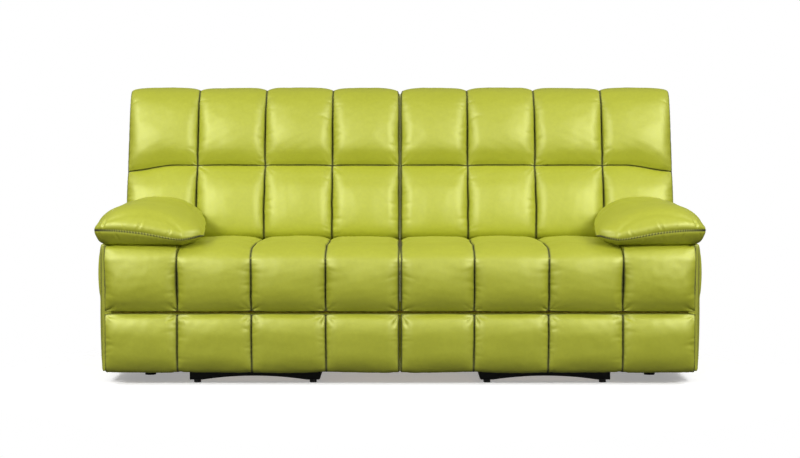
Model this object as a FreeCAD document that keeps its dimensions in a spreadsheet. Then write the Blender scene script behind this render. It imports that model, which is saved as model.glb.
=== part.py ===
import FreeCAD, Part
import math
import os
import Sketcher

# Reclining sofa: two wide recliner units side by side, each half the mirror image of the other.
# Frame: X across, Y towards the back, Z up, origin on the floor under the middle of the sofa.
# Depths are measured from the front face of the footrests. Each piece is drawn for the +X half
# and mirrored to the other half.

SIZES = {
    # Whole sofa
    "front_plane_y": "-473",
    # Upholstered columns of one half
    "centre_gap": "8",
    "column_width": "260",
    "front_outer_x": "1034",
    "back_outer_x": "1048",
    # Footrest pads and board
    "pad_thick": "80",
    "seam_recess": "26",
    "lower_pad_bottom": "42",
    "row_seam_height": "256",
    "row_gap": "4",
    "front_top_recess": "15",
    "wing_pad_gap": "5",
    "board_thick": "15",
    "board_margin": "16",
    "board_bottom": "50",
    "bracket_drop": "74",
    "bracket_rise": "6",
    "bracket_throat": "14",
    "bracket_heel": "32",
    "bracket_nose": "8",
    "footrest_flange_wide": "32",
    # Footrest hinges
    "hinge_depth": "10",
    "hinge_height": "445",
    "knuckle_radius": "4",
    "hinge_pin_radius": "2",
    "pin_play": "0.15",
    "leaf_thick": "2",
    "hinge_width": "60",
    "hinge_first_x": "100",
    "hinge_spacing": "290",
    "axial_play": "0.3",
    # Seat frame and springs
    "front_board_depth": "105",
    "front_board_thick": "15",
    "seat_rail_bottom": "280",
    "seat_rail_high": "38",
    "rear_rail_depth": "612",
    "rear_rail_thick": "22",
    "inner_rail_thick": "22",
    "mid_rail_offset": "9.5",
    "outer_rail_offset": "13.5",
    "spring_inner_clear": "15",
    "spring_outer_clear": "60",
    "spring_rail_clear": "45",
    "seat_outer_x": "757",
    "spring_wire": "4",
    "spring_width": "44",
    "spring_pitch": "46",
    "spring_strands": "5",
    # Seat cushion
    "seat_cushion_outer_x": "768",
    "seat_rise": "32",
    "seat_crown": "24",
    "nose_depth": "10",
    "seat_cushion_rear": "575",
    "seat_roll": "35",
    "seat_edge_lift": "8",
    # Mechanism
    "mech_inner_x": "297.5",
    "mech_outer_x": "736.5",
    "plate_thick": "4",
    "plate_play": "1",
    "arm_bar_thick": "5",
    "plate_bottom": "150",
    "plate_front": "140",
    "leg_width": "42",
    "front_leg_depth": "148",
    "rear_leg_depth": "580",
    "drive_depth": "310",
    "crank_run": "124",
    "crank_drop": "183",
    "tube_radius": "12.5",
    "tube_wall": "2",
    "tube_play": "0.2",
    "hub_radius": "16",
    "link_half_width": "11",
    "link_pin_radius": "4",
    "link_play": "0.1",
    "open_pin_play": "0.25",
    "rivet_head": "2",
    "rivet_flange": "3",
    "tube_inner_over": "6",
    "tube_outer_over": "8",
    "finger_half": "8",
    "spring_crank_half": "3",
    "spring_peg_long": "24",
    "kick_depth": "350",
    "kick_height": "195",
    "kick_low": "40",
    "kick_high": "45",
    "kick_step": "30",
    "kick_nose": "16",
    "crank_long": "40",
    # Base frame and glides
    "glide_high": "9.5",
    "glide_radius": "12.5",
    "rail_high": "30.5",
    "rail_width": "16.5",
    "front_bar_depth": "110",
    "front_bar_thick": "15",
    "front_bar_inner_x": "287",
    "front_bar_outer_x": "747",
    "arch_span": "370",
    "arch_rise": "14",
    "front_glide_edge": "22",
    "outer_glide_inset": "5",
    "rail_rear": "660",
    # Cross stretchers and rear base panel
    "mid_stretcher_gap": "25",
    "rear_stretcher_gap": "4",
    "stretcher_thick": "22",
    "stretcher_high": "75",
    "panel_depth": "735",
    "panel_thick": "12",
    "panel_bottom": "45",
    "low_rear_height": "230",
    # Arms
    "arm_inner_x": "772",
    "arm_outer_x": "1058",
    "arm_bottom": "40",
    "arm_body_rise": "12",
    "arm_front_depth": "105",
    "arm_rear_depth": "515",
    "arm_bulge": "9",
    "arm_bulge_rise": "260",
    "arm_knee_rise": "41",
    "cover_thick": "12",
    "outer_wall": "14",
    "arm_board": "16",
    "arm_glide_radius": "20",
    "arm_glide_front": "215",
    "arm_glide_rear": "40",
    "pad_front_depth": "-8",
    "arm_pad_high": "146",
    "pad_inner_x": "679",
    "pad_outer_x": "1073",
    "arm_bolt_radius": "5",
    "arm_bolt_height": "299",
    "arm_bolt_inset": "75",
    "arm_bolt_reach": "30",
    "arm_bolt_nut": "6",
    # Release handle, bezel and cable
    "bezel_depth": "300",
    "bezel_height": "400",
    "bezel_long": "150",
    "bezel_high": "62",
    "bezel_face_x": "1075",
    "bezel_flange": "4",
    "cup_deep": "26",
    "cup_wall": "3",
    "flange_lip": "9",
    "paddle_thick": "6",
    "paddle_long": "104",
    "paddle_play": "2",
    "handle_pin_radius": "3",
    "handle_inset": "10",
    "handle_end": "14",
    "cable_radius": "3",
    "cable_bend": "45",
    "cable_inset": "84",
    "cable_start_height": "392",
    "cable_low_height": "157",
    # Back
    "back_lean": "17",
    "back_pivot_depth": "655",
    "back_pivot_height": "335",
    "back_stud_radius": "5",
    "ear_radius": "16",
    "frame_front": "38",
    "frame_rear": "70",
    "rail_low": "24",
    "back_rail_high": "60",
    "back_frame_top": "735",
    "post_wide": "40",
    "strap_thick": "2",
    "strap_wide": "50",
    "crown_front": "140",
    "back_seam_front": "92",
    "lumbar_bottom": "130",
    "back_row_seam": "416",
    "head_top": "745",
    "head_crown": "14",
    "head_drop": "12",
    "wing_bottom": "-30",
    "rear_cover_thick": "15",
    "side_cover_thick": "12",
    "rear_cover_bottom": "-28",
    "bracket_limb": "18",
    "bracket_top": "125",
    "bracket_flange": "3",
    "back_flange_wide": "30",
    "back_rail_relief": "20",
    "back_frame_gap": "10",
    # Footrest extension spring
    "coil_radius": "9",
    "coil_anchor_height": "295",
    "coil_peg_radius": "4",
}

doc = FreeCAD.newDocument("reclining_sofa")
sheet = doc.addObject("Spreadsheet::Sheet", "Sizes")
for row, (alias, amount) in enumerate(SIZES.items(), 1):
    sheet.set(f"A{row}", alias)
    sheet.set(f"B{row}", amount)
    sheet.setAlias(f"B{row}", alias)
doc.recompute()


class Size(float):
    """A number that also keeps the formula over the sheet that gives it."""

    def __new__(cls, value, formula):
        size = super().__new__(cls, value)
        size.formula = formula
        return size

    def __add__(self, other):
        return Size(float(self) + float(other), f"({self.formula} + {formula_of(other)})")

    def __radd__(self, other):
        return Size(float(other) + float(self), f"({formula_of(other)} + {self.formula})")

    def __sub__(self, other):
        return Size(float(self) - float(other), f"({self.formula} - {formula_of(other)})")

    def __rsub__(self, other):
        return Size(float(other) - float(self), f"({formula_of(other)} - {self.formula})")

    def __mul__(self, other):
        return Size(float(self) * float(other), f"({self.formula} * {formula_of(other)})")

    def __rmul__(self, other):
        return Size(float(other) * float(self), f"({formula_of(other)} * {self.formula})")

    def __truediv__(self, other):
        return Size(float(self) / float(other), f"({self.formula} / {formula_of(other)})")

    def __neg__(self):
        return Size(-float(self), f"(0 - {self.formula})")


def formula_of(amount):
    """The formula of a size, or a plain number as text."""
    if isinstance(amount, Size):
        return amount.formula
    return repr(float(amount))


class Dimensions:
    """The cells of the sheet as sizes, by alias."""

    def __getattr__(self, alias):
        return Size(float(getattr(sheet, alias)), "Sizes." + alias)


size = Dimensions()
nodes = []


# Bound primitives and booleans

def bind(item, prop, amount):
    """Tie a property of an object to the sheet."""
    item.setExpression(prop, formula_of(amount))


def box(name, across, depth, height):
    """A block between two places across, two depths and two heights."""
    item = doc.addObject("Part::Box", name)
    sides = zip(("Length", "Width", "Height"), ("x", "y", "z"), (across, depth, height))
    for side, place, (low, high) in sides:
        bind(item, side, high - low)
        bind(item, "Placement.Base." + place, low)
    return item


def rod(name, along, radius, ends, centre):
    """A cylinder along one axis; centre gives the other two places in X, Y, Z order."""
    item = doc.addObject("Part::Cylinder", name)
    turns = {
        "x": FreeCAD.Rotation(FreeCAD.Vector(0, 1, 0), 90),
        "y": FreeCAD.Rotation(FreeCAD.Vector(1, 0, 0), -90),
        "z": FreeCAD.Rotation(),
    }
    item.Placement = FreeCAD.Placement(FreeCAD.Vector(), turns[along])
    bind(item, "Radius", radius)
    bind(item, "Height", ends[1] - ends[0])
    bind(item, "Placement.Base." + along, ends[0])
    for place, amount in zip([axis for axis in "xyz" if axis != along], centre):
        bind(item, "Placement.Base." + place, amount)
    return item


def fuse(name, *pieces):
    """One solid made of several that meet."""
    item = doc.addObject("Part::MultiFuse", name)
    item.Shapes = list(pieces)
    return item


def cut(name, base, *tools):
    """A solid less the given tools."""
    item = doc.addObject("Part::Cut", name)
    item.Base = base
    item.Tool = tools[0] if len(tools) == 1 else fuse(name + "_tools", *tools)
    return item


def group(name, *pieces):
    """Separate solids kept together in one node."""
    item = doc.addObject("Part::Compound", name)
    item.Links = list(pieces)
    return item


def plate(name, corners, ends, holes=()):
    """A sheet metal part: an outline in depth and height, padded across, with round holes."""
    body = doc.addObject("PartDesign::Body", name)
    sketch = body.newObject("Sketcher::SketchObject", name + "_outline")
    side_plane = next(f for f in body.Origin.OriginFeatures if f.Role == "YZ_Plane")
    sketch.AttachmentSupport = [(side_plane, "")]
    sketch.MapMode = "FlatFace"
    count = len(corners)
    points = [FreeCAD.Vector(float(d), float(z), 0) for d, z in corners]
    for start, end in zip(points, points[1:] + points[:1]):
        sketch.addGeometry(Part.LineSegment(start, end))
    for line in range(count):
        sketch.addConstraint(Sketcher.Constraint("Coincident", line, 2, (line + 1) % count, 1))
    for line, corner in enumerate(corners):
        for kind, amount in zip(("DistanceX", "DistanceY"), corner):
            rule = Sketcher.Constraint(kind, -1, 1, line, 1, float(amount))
            place = sketch.addConstraint(rule)
            bind(sketch, f"Constraints[{place}]", amount)
    for depth, height, radius in holes:
        centre = FreeCAD.Vector(float(depth), float(height), 0)
        circle = sketch.addGeometry(Part.Circle(centre, FreeCAD.Vector(0, 0, 1), float(radius)))
        for kind, amount in (("DistanceX", depth), ("DistanceY", height)):
            rule = Sketcher.Constraint(kind, -1, 1, circle, 3, float(amount))
            place = sketch.addConstraint(rule)
            bind(sketch, f"Constraints[{place}]", amount)
        place = sketch.addConstraint(Sketcher.Constraint("Radius", circle, float(radius)))
        bind(sketch, f"Constraints[{place}]", radius)
    pad = body.newObject("PartDesign::Pad", name + "_pad")
    pad.Profile = sketch
    bind(pad, "Length", ends[1] - ends[0])
    bind(body, "Placement.Base.x", ends[0])
    return body


# Soft forms: the common part of crowned slabs seen from the front, the side and above

def outline(corners, to_space):
    """A face inside straight and bowed edges; each corner has the rise of the edge after it."""
    edges = []
    for (a, b, rise), (c, d, _) in zip(corners, corners[1:] + corners[:1]):
        start = to_space(a, b)
        end = to_space(c, d)
        if rise:
            length = math.hypot(c - a, d - b)
            across = rise * (d - b) / length
            up = rise * (c - a) / length
            middle = to_space((a + c) / 2 + across, (b + d) / 2 - up)
            edges.append(Part.Arc(start, middle, end).toShape())
        else:
            edges.append(Part.makeLine(start, end))
    return Part.Face(Part.Wire(edges))


def front_slab(corners, low, high):
    """An outline in X and Z, counter-clockwise, carried from one depth to another."""
    face = outline(corners, lambda x, z: FreeCAD.Vector(x, low, z))
    return face.extrude(FreeCAD.Vector(0, high - low, 0))


def side_slab(corners, low, high):
    """An outline in depth and height, counter-clockwise, carried across the sofa."""
    face = outline(corners, lambda d, z: FreeCAD.Vector(low, d, z))
    return face.extrude(FreeCAD.Vector(high - low, 0, 0))


def plan_slab(corners, low, high):
    """An outline in X and depth, counter-clockwise from above, carried upwards."""
    face = outline(corners, lambda x, d: FreeCAD.Vector(x, d, low))
    return face.extrude(FreeCAD.Vector(0, 0, high - low))


def one_solid(shape):
    """The single solid of a boolean result."""
    solids = shape.removeSplitter().Solids
    if len(solids) != 1:
        raise ValueError(f"a soft form has {len(solids)} solids")
    return solids[0]


def formed(name, shape):
    """A document object for a shape made from the sheet's sizes."""
    item = doc.addObject("Part::Feature", name)
    item.Shape = shape
    return item


# Placing the finished nodes

def both_halves(item, name):
    """Set a +X piece in place and mirror it to the other half."""
    if item.Placement.Rotation.Angle == 0:
        bind(item, "Placement.Base.y", size.front_plane_y)
    item.Label = name + "_right"
    mirror = doc.addObject("Part::Mirroring", name + "_mirror")
    mirror.Source = item
    mirror.Normal = FreeCAD.Vector(1, 0, 0)
    mirror.Label = name + "_left"
    nodes.extend([item, mirror])


def single(item, name):
    """Set a piece that serves both halves in place."""
    bind(item, "Placement.Base.y", size.front_plane_y)
    item.Label = name
    nodes.append(item)


def leaned(item):
    """Set a piece drawn in the back's own frame on the back pivot, leaned rearwards."""
    item.Placement = FreeCAD.Placement(
        FreeCAD.Vector(), FreeCAD.Rotation(FreeCAD.Vector(-1, 0, 0), float(size.back_lean))
    )
    bind(item, "Placement.Rotation.Angle", size.back_lean)
    bind(item, "Placement.Base.y", size.front_plane_y + size.back_pivot_depth)
    bind(item, "Placement.Base.z", size.back_pivot_height)
    return item


def stack(offset, thick):
    """Where a layer of the mechanism lies beside the inner and the outer side plate."""
    inner = (size.mech_inner_x + offset, size.mech_inner_x + offset + thick)
    outer = (size.mech_outer_x - offset - thick, size.mech_outer_x - offset)
    return inner, outer


# Places that several pieces share

half_gap = size.centre_gap / 2
seams = [size.column_width * count for count in (1, 2, 3)]
knuckle_top = size.hinge_height + size.knuckle_radius
knuckle_bottom = size.hinge_height - size.knuckle_radius
front_board_top = knuckle_top - size.leaf_thick
upper_pad_top = knuckle_bottom - 1
board_rear = size.pad_thick + size.board_thick
front_board_rear = size.front_board_depth + size.front_board_thick
seat_rail_top = size.seat_rail_bottom + size.seat_rail_high
rear_rail_end = size.rear_rail_depth + size.rear_rail_thick
spring_top = seat_rail_top + size.spring_wire
base_top = size.glide_high + size.rail_high
drive_height = size.hinge_height - size.crank_drop
pin_depth = size.hinge_depth + size.crank_run
crank_pin_depth = size.drive_depth + size.crank_run
crank_pin_height = drive_height - size.crank_drop
arm_layer = size.plate_thick + size.plate_play
push_layer = arm_layer + size.arm_bar_thick + size.plate_play
bracket_layer = push_layer + size.arm_bar_thick + size.plate_play
mech_centre = (size.mech_inner_x + size.mech_outer_x) / 2
nose_bottom = knuckle_top + 1
seat_seam_height = nose_bottom + size.seat_rise
arm_body_top = seat_seam_height + size.arm_body_rise
wing_pad_top = arm_body_top - size.wing_pad_gap
mid_stretcher_depth = crank_pin_depth + size.link_half_width + size.mid_stretcher_gap
rear_stretcher_depth = size.rear_leg_depth + size.leg_width + size.rear_stretcher_gap


# Footrest: pads, board, brackets and hinges

def bowed_columns(outer, recess, depth):
    """Front edges in X and depth, bowed forwards between the column seams."""
    stops = [half_gap] + seams + [outer]
    corners = [(x, recess, recess) for x in stops]
    corners[-1] = (outer, recess, 0)
    return corners + [(outer, depth, 0), (half_gap, depth, 0)]


def footrest_lower_pad():
    outer = size.front_outer_x
    top = size.row_seam_height - size.row_gap / 2
    plan = bowed_columns(outer, size.seam_recess, size.pad_thick)
    columns = plan_slab(plan, size.lower_pad_bottom, top)
    row = side_slab(
        [
            (size.pad_thick, size.lower_pad_bottom, 0),
            (size.pad_thick, top, 0),
            (size.seam_recess, top, size.seam_recess),
            (size.seam_recess, size.lower_pad_bottom, 0),
        ],
        half_gap,
        outer,
    )
    return formed("lower_pad", one_solid(columns.common(row)))


def footrest_upper_pad():
    outer = size.front_outer_x
    bottom = size.row_seam_height + size.row_gap / 2
    plan = bowed_columns(outer, size.seam_recess, size.pad_thick)
    columns = plan_slab(plan, bottom, wing_pad_top)
    crown = size.seam_recess * 0.8

    def row(top, low, high):
        corners = [
            (size.pad_thick, bottom, 0),
            (size.pad_thick, top, 0),
            (size.front_top_recess, top, size.front_top_recess * 0.7),
            (size.seam_recess, bottom, 0),
        ]
        bowed = side_slab(corners, low, high)
        corners[2] = (size.front_top_recess, top, crown)
        return side_slab(corners, low, high) if low > seams[1] else bowed

    shoulder = wing_pad_top - upper_pad_top
    wing_outline = front_slab(
        [
            (seams[2], bottom, 0),
            (outer, bottom, 0),
            (outer, wing_pad_top - shoulder, shoulder * 0.2),
            (outer - shoulder, wing_pad_top, 0),
            (seams[2] + shoulder, wing_pad_top, shoulder * 0.2),
            (seams[2], wing_pad_top - shoulder, 0),
        ],
        -size.pad_thick,
        size.pad_thick,
    )
    inner_rows = columns.common(row(upper_pad_top, half_gap, seams[2]))
    wing = columns.common(row(wing_pad_top, seams[2], outer)).common(wing_outline)
    return formed("upper_pad", one_solid(inner_rows.fuse(wing)))


def footrest_board():
    across = (half_gap + size.board_margin, size.front_outer_x - size.board_margin)
    height = (size.board_bottom, knuckle_bottom)
    return group("board", box("board_sheet", across, (size.pad_thick, board_rear), height))


def footrest_brackets():
    pieces = []
    low = drive_height - size.bracket_drop
    high = drive_height + size.bracket_rise
    nose = pin_depth + size.link_half_width
    corners = [
        (board_rear, low),
        (pin_depth - size.bracket_throat, drive_height - size.bracket_heel),
        (nose, drive_height - size.bracket_nose),
        (nose, drive_height + size.bracket_nose),
        (pin_depth + size.link_pin_radius, drive_height + size.link_half_width),
        (board_rear, high),
    ]
    flange_rear = board_rear + size.bracket_flange
    for side, (web, tip) in enumerate(zip(stack(bracket_layer, size.plate_thick), (1, -1))):
        pieces.append(plate(f"bracket_web_{side}", corners, web))
        wide = size.footrest_flange_wide
        flange = (web[1], web[1] + wide) if tip > 0 else (web[0] - wide, web[0])
        pieces.append(box(f"bracket_flange_{side}", flange, (board_rear, flange_rear), (low, high)))
        reach = size.plate_play + size.arm_bar_thick + size.plate_play / 2
        pin = (web[0] - reach, web[1]) if tip > 0 else (web[0], web[1] + reach)
        pieces.append(rod(f"open_pin_{side}", "x", size.link_pin_radius, pin, (pin_depth, drive_height)))
    return group("brackets", fuse("bracket_inner", *pieces[:3]), fuse("bracket_outer", *pieces[3:]))


def hinge_places():
    return [size.hinge_first_x + size.hinge_spacing * count for count in range(3)]


def moving_leaves():
    leaves = []
    neck = size.hinge_depth + size.knuckle_radius + size.leaf_thick
    height = (knuckle_bottom, knuckle_bottom + size.leaf_thick)
    for count, middle in enumerate(hinge_places()):
        half = size.hinge_width / 6 - size.axial_play / 2
        across = (middle - half, middle + half)
        knuckle = rod(f"moving_knuckle_{count}", "x", size.knuckle_radius, across,
                      (size.hinge_depth, size.hinge_height))
        tail = box(f"moving_neck_{count}", across, (size.hinge_depth, neck), height)
        wide = (middle - size.hinge_width / 2, middle + size.hinge_width / 2)
        leaf = box(f"moving_leaf_{count}", wide, (neck, board_rear), height)
        bore = rod(f"moving_bore_{count}", "x", size.hinge_pin_radius + size.pin_play,
                   (across[0] - 1, across[1] + 1), (size.hinge_depth, size.hinge_height))
        blank = fuse(f"moving_blank_{count}", knuckle, tail, leaf)
        leaves.append(cut(f"moving_hinge_{count}", blank, bore))
    return group("moving_leaves", *leaves)


def fixed_leaves():
    leaves = []
    neck = size.hinge_depth + size.knuckle_radius + size.leaf_thick
    height = (front_board_top, knuckle_top)
    axis = (size.hinge_depth, size.hinge_height)
    for count, middle in enumerate(hinge_places()):
        ends = (middle - size.hinge_width / 2, middle + size.hinge_width / 2)
        inside = size.hinge_width / 6 + size.axial_play / 2
        pieces = [
            box(f"fixed_leaf_{count}", ends, (neck, front_board_rear), height),
            rod(f"hinge_pin_{count}", "x", size.hinge_pin_radius, ends, axis),
        ]
        for side, across in enumerate(((ends[0], middle - inside), (middle + inside, ends[1]))):
            pieces.append(rod(f"fixed_knuckle_{count}_{side}", "x", size.knuckle_radius, across, axis))
            pieces.append(box(f"fixed_neck_{count}_{side}", across, (size.hinge_depth, neck), height))
        leaves.append(fuse(f"fixed_hinge_{count}", *pieces))
    return group("fixed_leaves", *leaves)


# Drive linkage: a parallelogram of the footrest, push arms, drive arms and the fixed side plates

def link(name, ends, start, end):
    """A flat bar between two pivots, each given as depth and height."""
    run = end[0] - start[0]
    rise = end[1] - start[1]
    squares = run * run + rise * rise
    long = Size(math.hypot(run, rise), f"sqrt({squares.formula})")
    half = size.link_half_width
    pieces = [
        box(name + "_bar", ends, (long * 0, long), (-half, half)),
        rod(name + "_start", "x", half, ends, (long * 0, long * 0)),
        rod(name + "_end", "x", half, ends, (long, long * 0)),
    ]
    bar = fuse(name, *pieces)
    bar.Placement = FreeCAD.Placement(FreeCAD.Vector(), FreeCAD.Rotation(FreeCAD.Vector(1, 0, 0), -45))
    slope = math.degrees(math.atan2(rise, run))
    bar.Placement.Rotation = FreeCAD.Rotation(FreeCAD.Vector(1, 0, 0), slope)
    turn = f"asin(({rise.formula}) / ({long.formula}))"
    if bar.Placement.Rotation.Axis.x < 0:
        turn = f"asin((0 - ({rise.formula})) / ({long.formula}))"
    bar.setExpression("Placement.Rotation.Angle", turn)
    bind(bar, "Placement.Base.y", start[0])
    bind(bar, "Placement.Base.z", start[1])
    return bar


def drive_arms():
    pivot = (size.drive_depth, drive_height)
    tip = (crank_pin_depth, crank_pin_height)
    tube_start = size.mech_inner_x - size.tube_inner_over
    tube_ends = (tube_start, size.mech_outer_x + size.tube_outer_over)
    pieces = [rod("drive_tube_rod", "x", size.tube_radius, tube_ends, pivot)]
    arm_sides = stack(arm_layer, size.arm_bar_thick)
    push_sides = stack(push_layer, size.arm_bar_thick)
    for side, (arm, push) in enumerate(zip(arm_sides, push_sides)):
        pieces.append(link(f"drive_bar_{side}", arm, pivot, tip))
        pieces.append(rod(f"drive_hub_{side}", "x", size.hub_radius, arm, pivot))
        head_play = size.axial_play
        if side == 0:
            pin = (arm[0], push[1] + head_play + size.rivet_head)
            head = (push[1] + head_play, push[1] + head_play + size.rivet_head)
        else:
            pin = (push[0] - head_play - size.rivet_head, arm[1])
            head = (push[0] - head_play - size.rivet_head, push[0] - head_play)
        pieces.append(rod(f"crank_pin_{side}", "x", size.link_pin_radius, pin, tip))
        pieces.append(rod(f"crank_head_{side}", "x", size.link_pin_radius + size.rivet_flange, head, tip))
    finger_low = size.mech_outer_x + size.plate_play
    finger_x = (finger_low, finger_low + size.arm_bar_thick)
    half_finger = (size.drive_depth - size.finger_half, size.drive_depth + size.finger_half)
    pieces.append(box("kick_finger", finger_x, half_finger, (drive_height - size.crank_long, drive_height)))
    crank_x = (mech_centre - size.spring_crank_half, mech_centre + size.spring_crank_half)
    peg_height = drive_height - size.crank_long
    pieces.append(box("spring_crank", crank_x, half_finger, (peg_height, drive_height)))
    peg_ends = (mech_centre, mech_centre + size.spring_peg_long)
    pieces.append(rod("spring_peg", "x", size.coil_peg_radius, peg_ends,
                      (size.drive_depth, peg_height + size.coil_peg_radius)))
    bore = rod("drive_tube_bore", "x", size.tube_radius - size.tube_wall,
               (tube_ends[0] - 1, tube_ends[1] + 1), pivot)
    return cut("drive_arms", fuse("drive_blank", *pieces), bore)


def push_arms():
    start = (pin_depth, drive_height)
    end = (crank_pin_depth, crank_pin_height)
    bars = []
    for side, ends in enumerate(stack(push_layer, size.arm_bar_thick)):
        wide = (ends[0] - 1, ends[1] + 1)
        open_hole = rod(f"open_hole_{side}", "x", size.link_pin_radius + size.open_pin_play, wide, start)
        crank_hole = rod(f"crank_hole_{side}", "x", size.link_pin_radius + size.link_play, wide, end)
        blank = link(f"push_blank_{side}", ends, start, end)
        bars.append(cut(f"push_bar_{side}", blank, open_hole, crank_hole))
    return group("push_arms", *bars)


def side_plates():
    """Both plates of one unit, with the studs that carry the back and the kick lever."""
    front_leg_rear = size.front_leg_depth + size.leg_width
    rear_leg_rear = size.rear_leg_depth + size.leg_width
    ear_front = size.back_pivot_depth - size.ear_radius
    ear_rear = size.back_pivot_depth + size.ear_radius
    corners = [
        (size.front_leg_depth, base_top),
        (front_leg_rear, base_top),
        (front_leg_rear, size.plate_bottom),
        (size.rear_leg_depth, size.plate_bottom),
        (size.rear_leg_depth, base_top),
        (rear_leg_rear, base_top),
        (rear_leg_rear, size.plate_bottom),
        (ear_rear, size.plate_bottom),
        (ear_rear, size.back_pivot_height),
        (ear_front, size.back_pivot_height),
        (ear_front, size.seat_rail_bottom),
        (size.plate_front, size.seat_rail_bottom),
        (size.plate_front, size.plate_bottom),
        (size.front_leg_depth, size.plate_bottom),
    ]
    tube_hole = (size.drive_depth, drive_height, size.tube_radius + size.tube_play)
    pivot = (size.back_pivot_depth, size.back_pivot_height)
    halves = []
    for side, ends in enumerate(stack(size.plate_thick * 0, size.plate_thick)):
        pieces = [plate(f"plate_{side}", corners, ends, [tube_hole])]
        pieces.append(rod(f"ear_{side}", "x", size.ear_radius, ends, pivot))
        reach = size.plate_play + size.plate_thick + size.axial_play
        if side == 0:
            stud = (ends[1], ends[1] + reach + size.rivet_head)
            head = (ends[1] + reach, ends[1] + reach + size.rivet_head)
        else:
            stud = (ends[0] - reach - size.rivet_head, ends[0])
            head = (ends[0] - reach - size.rivet_head, ends[0] - reach)
        pieces.append(rod(f"back_stud_{side}", "x", size.back_stud_radius, stud, pivot))
        head_radius = size.back_stud_radius + size.rivet_flange
        pieces.append(rod(f"back_stud_head_{side}", "x", head_radius, head, pivot))
        if side == 1:
            kick = (size.kick_depth, size.kick_height)
            kick_head = ends[1] + size.plate_play + size.plate_thick + size.axial_play
            kick_end = kick_head + size.rivet_head
            pieces.append(rod("kick_stud", "x", size.link_pin_radius, (ends[1], kick_end), kick))
            kick_radius = size.link_pin_radius + size.rivet_flange
            pieces.append(rod("kick_stud_head", "x", kick_radius, (kick_head, kick_end), kick))
        halves.append(fuse(f"side_plate_{side}", *pieces))
    return group("side_plates", *halves)


def kick_lever():
    """Lever on the outer plate that the cable turns to push the drive tube's finger."""
    low = size.mech_outer_x + size.plate_play
    depth = size.kick_depth
    corners = [
        (depth - size.kick_nose / 2, size.kick_height - size.kick_low),
        (depth + size.kick_nose / 2, size.kick_height - size.kick_low),
        (depth + size.link_half_width, size.kick_height),
        (depth + size.kick_nose / 4, size.kick_height + size.kick_high),
        (depth - size.kick_nose, size.kick_height + size.kick_high),
        (depth - size.kick_nose, size.kick_height + size.kick_step),
        (depth - size.link_half_width, size.kick_height),
    ]
    hole = (depth, size.kick_height, size.link_pin_radius + size.link_play)
    return plate("kick_lever", corners, (low, low + size.plate_thick), [hole])


def footrest_spring():
    """Extension spring from the seat's front board to the drive tube's crank, as its outer shape."""
    front = front_board_rear + size.axial_play
    peg_depth = size.drive_depth
    peg_height = drive_height - size.crank_long + size.coil_peg_radius
    run = peg_depth - front
    drop = size.coil_anchor_height - peg_height
    span = math.hypot(run, drop)
    reach = span - size.coil_peg_radius - size.axial_play - size.finger_half
    middle = mech_centre + size.spring_crank_half + size.axial_play + size.coil_radius
    start_depth = front + size.coil_radius * drop / span
    start = FreeCAD.Vector(middle, start_depth, size.coil_anchor_height)
    along = FreeCAD.Vector(0, run, -drop)
    along.normalize()
    return formed("footrest_spring", Part.makeCylinder(size.coil_radius, reach, start, along))


# Seat: wooden frame, flat zigzag springs and the cushion

def seat_frame():
    rail = (size.seat_rail_bottom, seat_rail_top)
    run = (front_board_rear, size.rear_rail_depth)
    inner = half_gap * 2
    mid_low = size.mech_inner_x - size.mid_rail_offset
    pieces = [
        box("front_board", (inner, size.seat_outer_x), (size.front_board_depth, front_board_rear),
            (size.seat_rail_bottom, front_board_top)),
        box("rear_rail", (inner, size.seat_outer_x), (size.rear_rail_depth, rear_rail_end), rail),
        box("inner_rail", (inner, inner + size.inner_rail_thick), run, rail),
        box("mid_rail", (mid_low, mid_low + size.inner_rail_thick), run, rail),
        box("outer_rail", (size.mech_outer_x - size.outer_rail_offset, size.seat_outer_x), run, rail),
    ]
    bolts = arm_bolt_rods("frame_hole", size.axial_play)
    return cut("seat_frame", fuse("seat_frame_blank", *pieces), *bolts)


def arm_bolt_rods(name, play):
    nut_end = size.arm_inner_x + size.cover_thick + size.arm_board + size.arm_bolt_nut
    ends = (size.seat_outer_x - size.arm_bolt_reach, nut_end)
    if play > 0:
        ends = (ends[0] - size.arm_bolt_reach, ends[1] + size.arm_bolt_reach)
    bolt_depths = (size.arm_front_depth + size.arm_bolt_inset, size.arm_rear_depth - size.arm_bolt_inset)
    return [
        rod(f"{name}_{count}", "x", size.arm_bolt_radius + play, ends, (depth, size.arm_bolt_height))
        for count, depth in enumerate(bolt_depths)
    ]


def seat_springs():
    """Flat zigzag springs, each one bent wire from the front board to the rear rail."""
    strips = []
    clear = size.inner_rail_thick + half_gap * 2 + size.spring_width / 2 + size.spring_inner_clear
    between = (size.seat_outer_x - size.spring_outer_clear - clear) / size.spring_strands
    for count in range(int(size.spring_strands)):
        middle = float(clear + between * (count + 0.5))
        mid_rail = float(size.mech_inner_x)
        aside = float(size.spring_rail_clear)
        if abs(middle - mid_rail) < aside:
            middle = mid_rail - aside if middle < mid_rail else mid_rail + aside
        strips.append(zigzag(middle))
    return formed("seat_springs", Part.makeCompound(strips))


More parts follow.
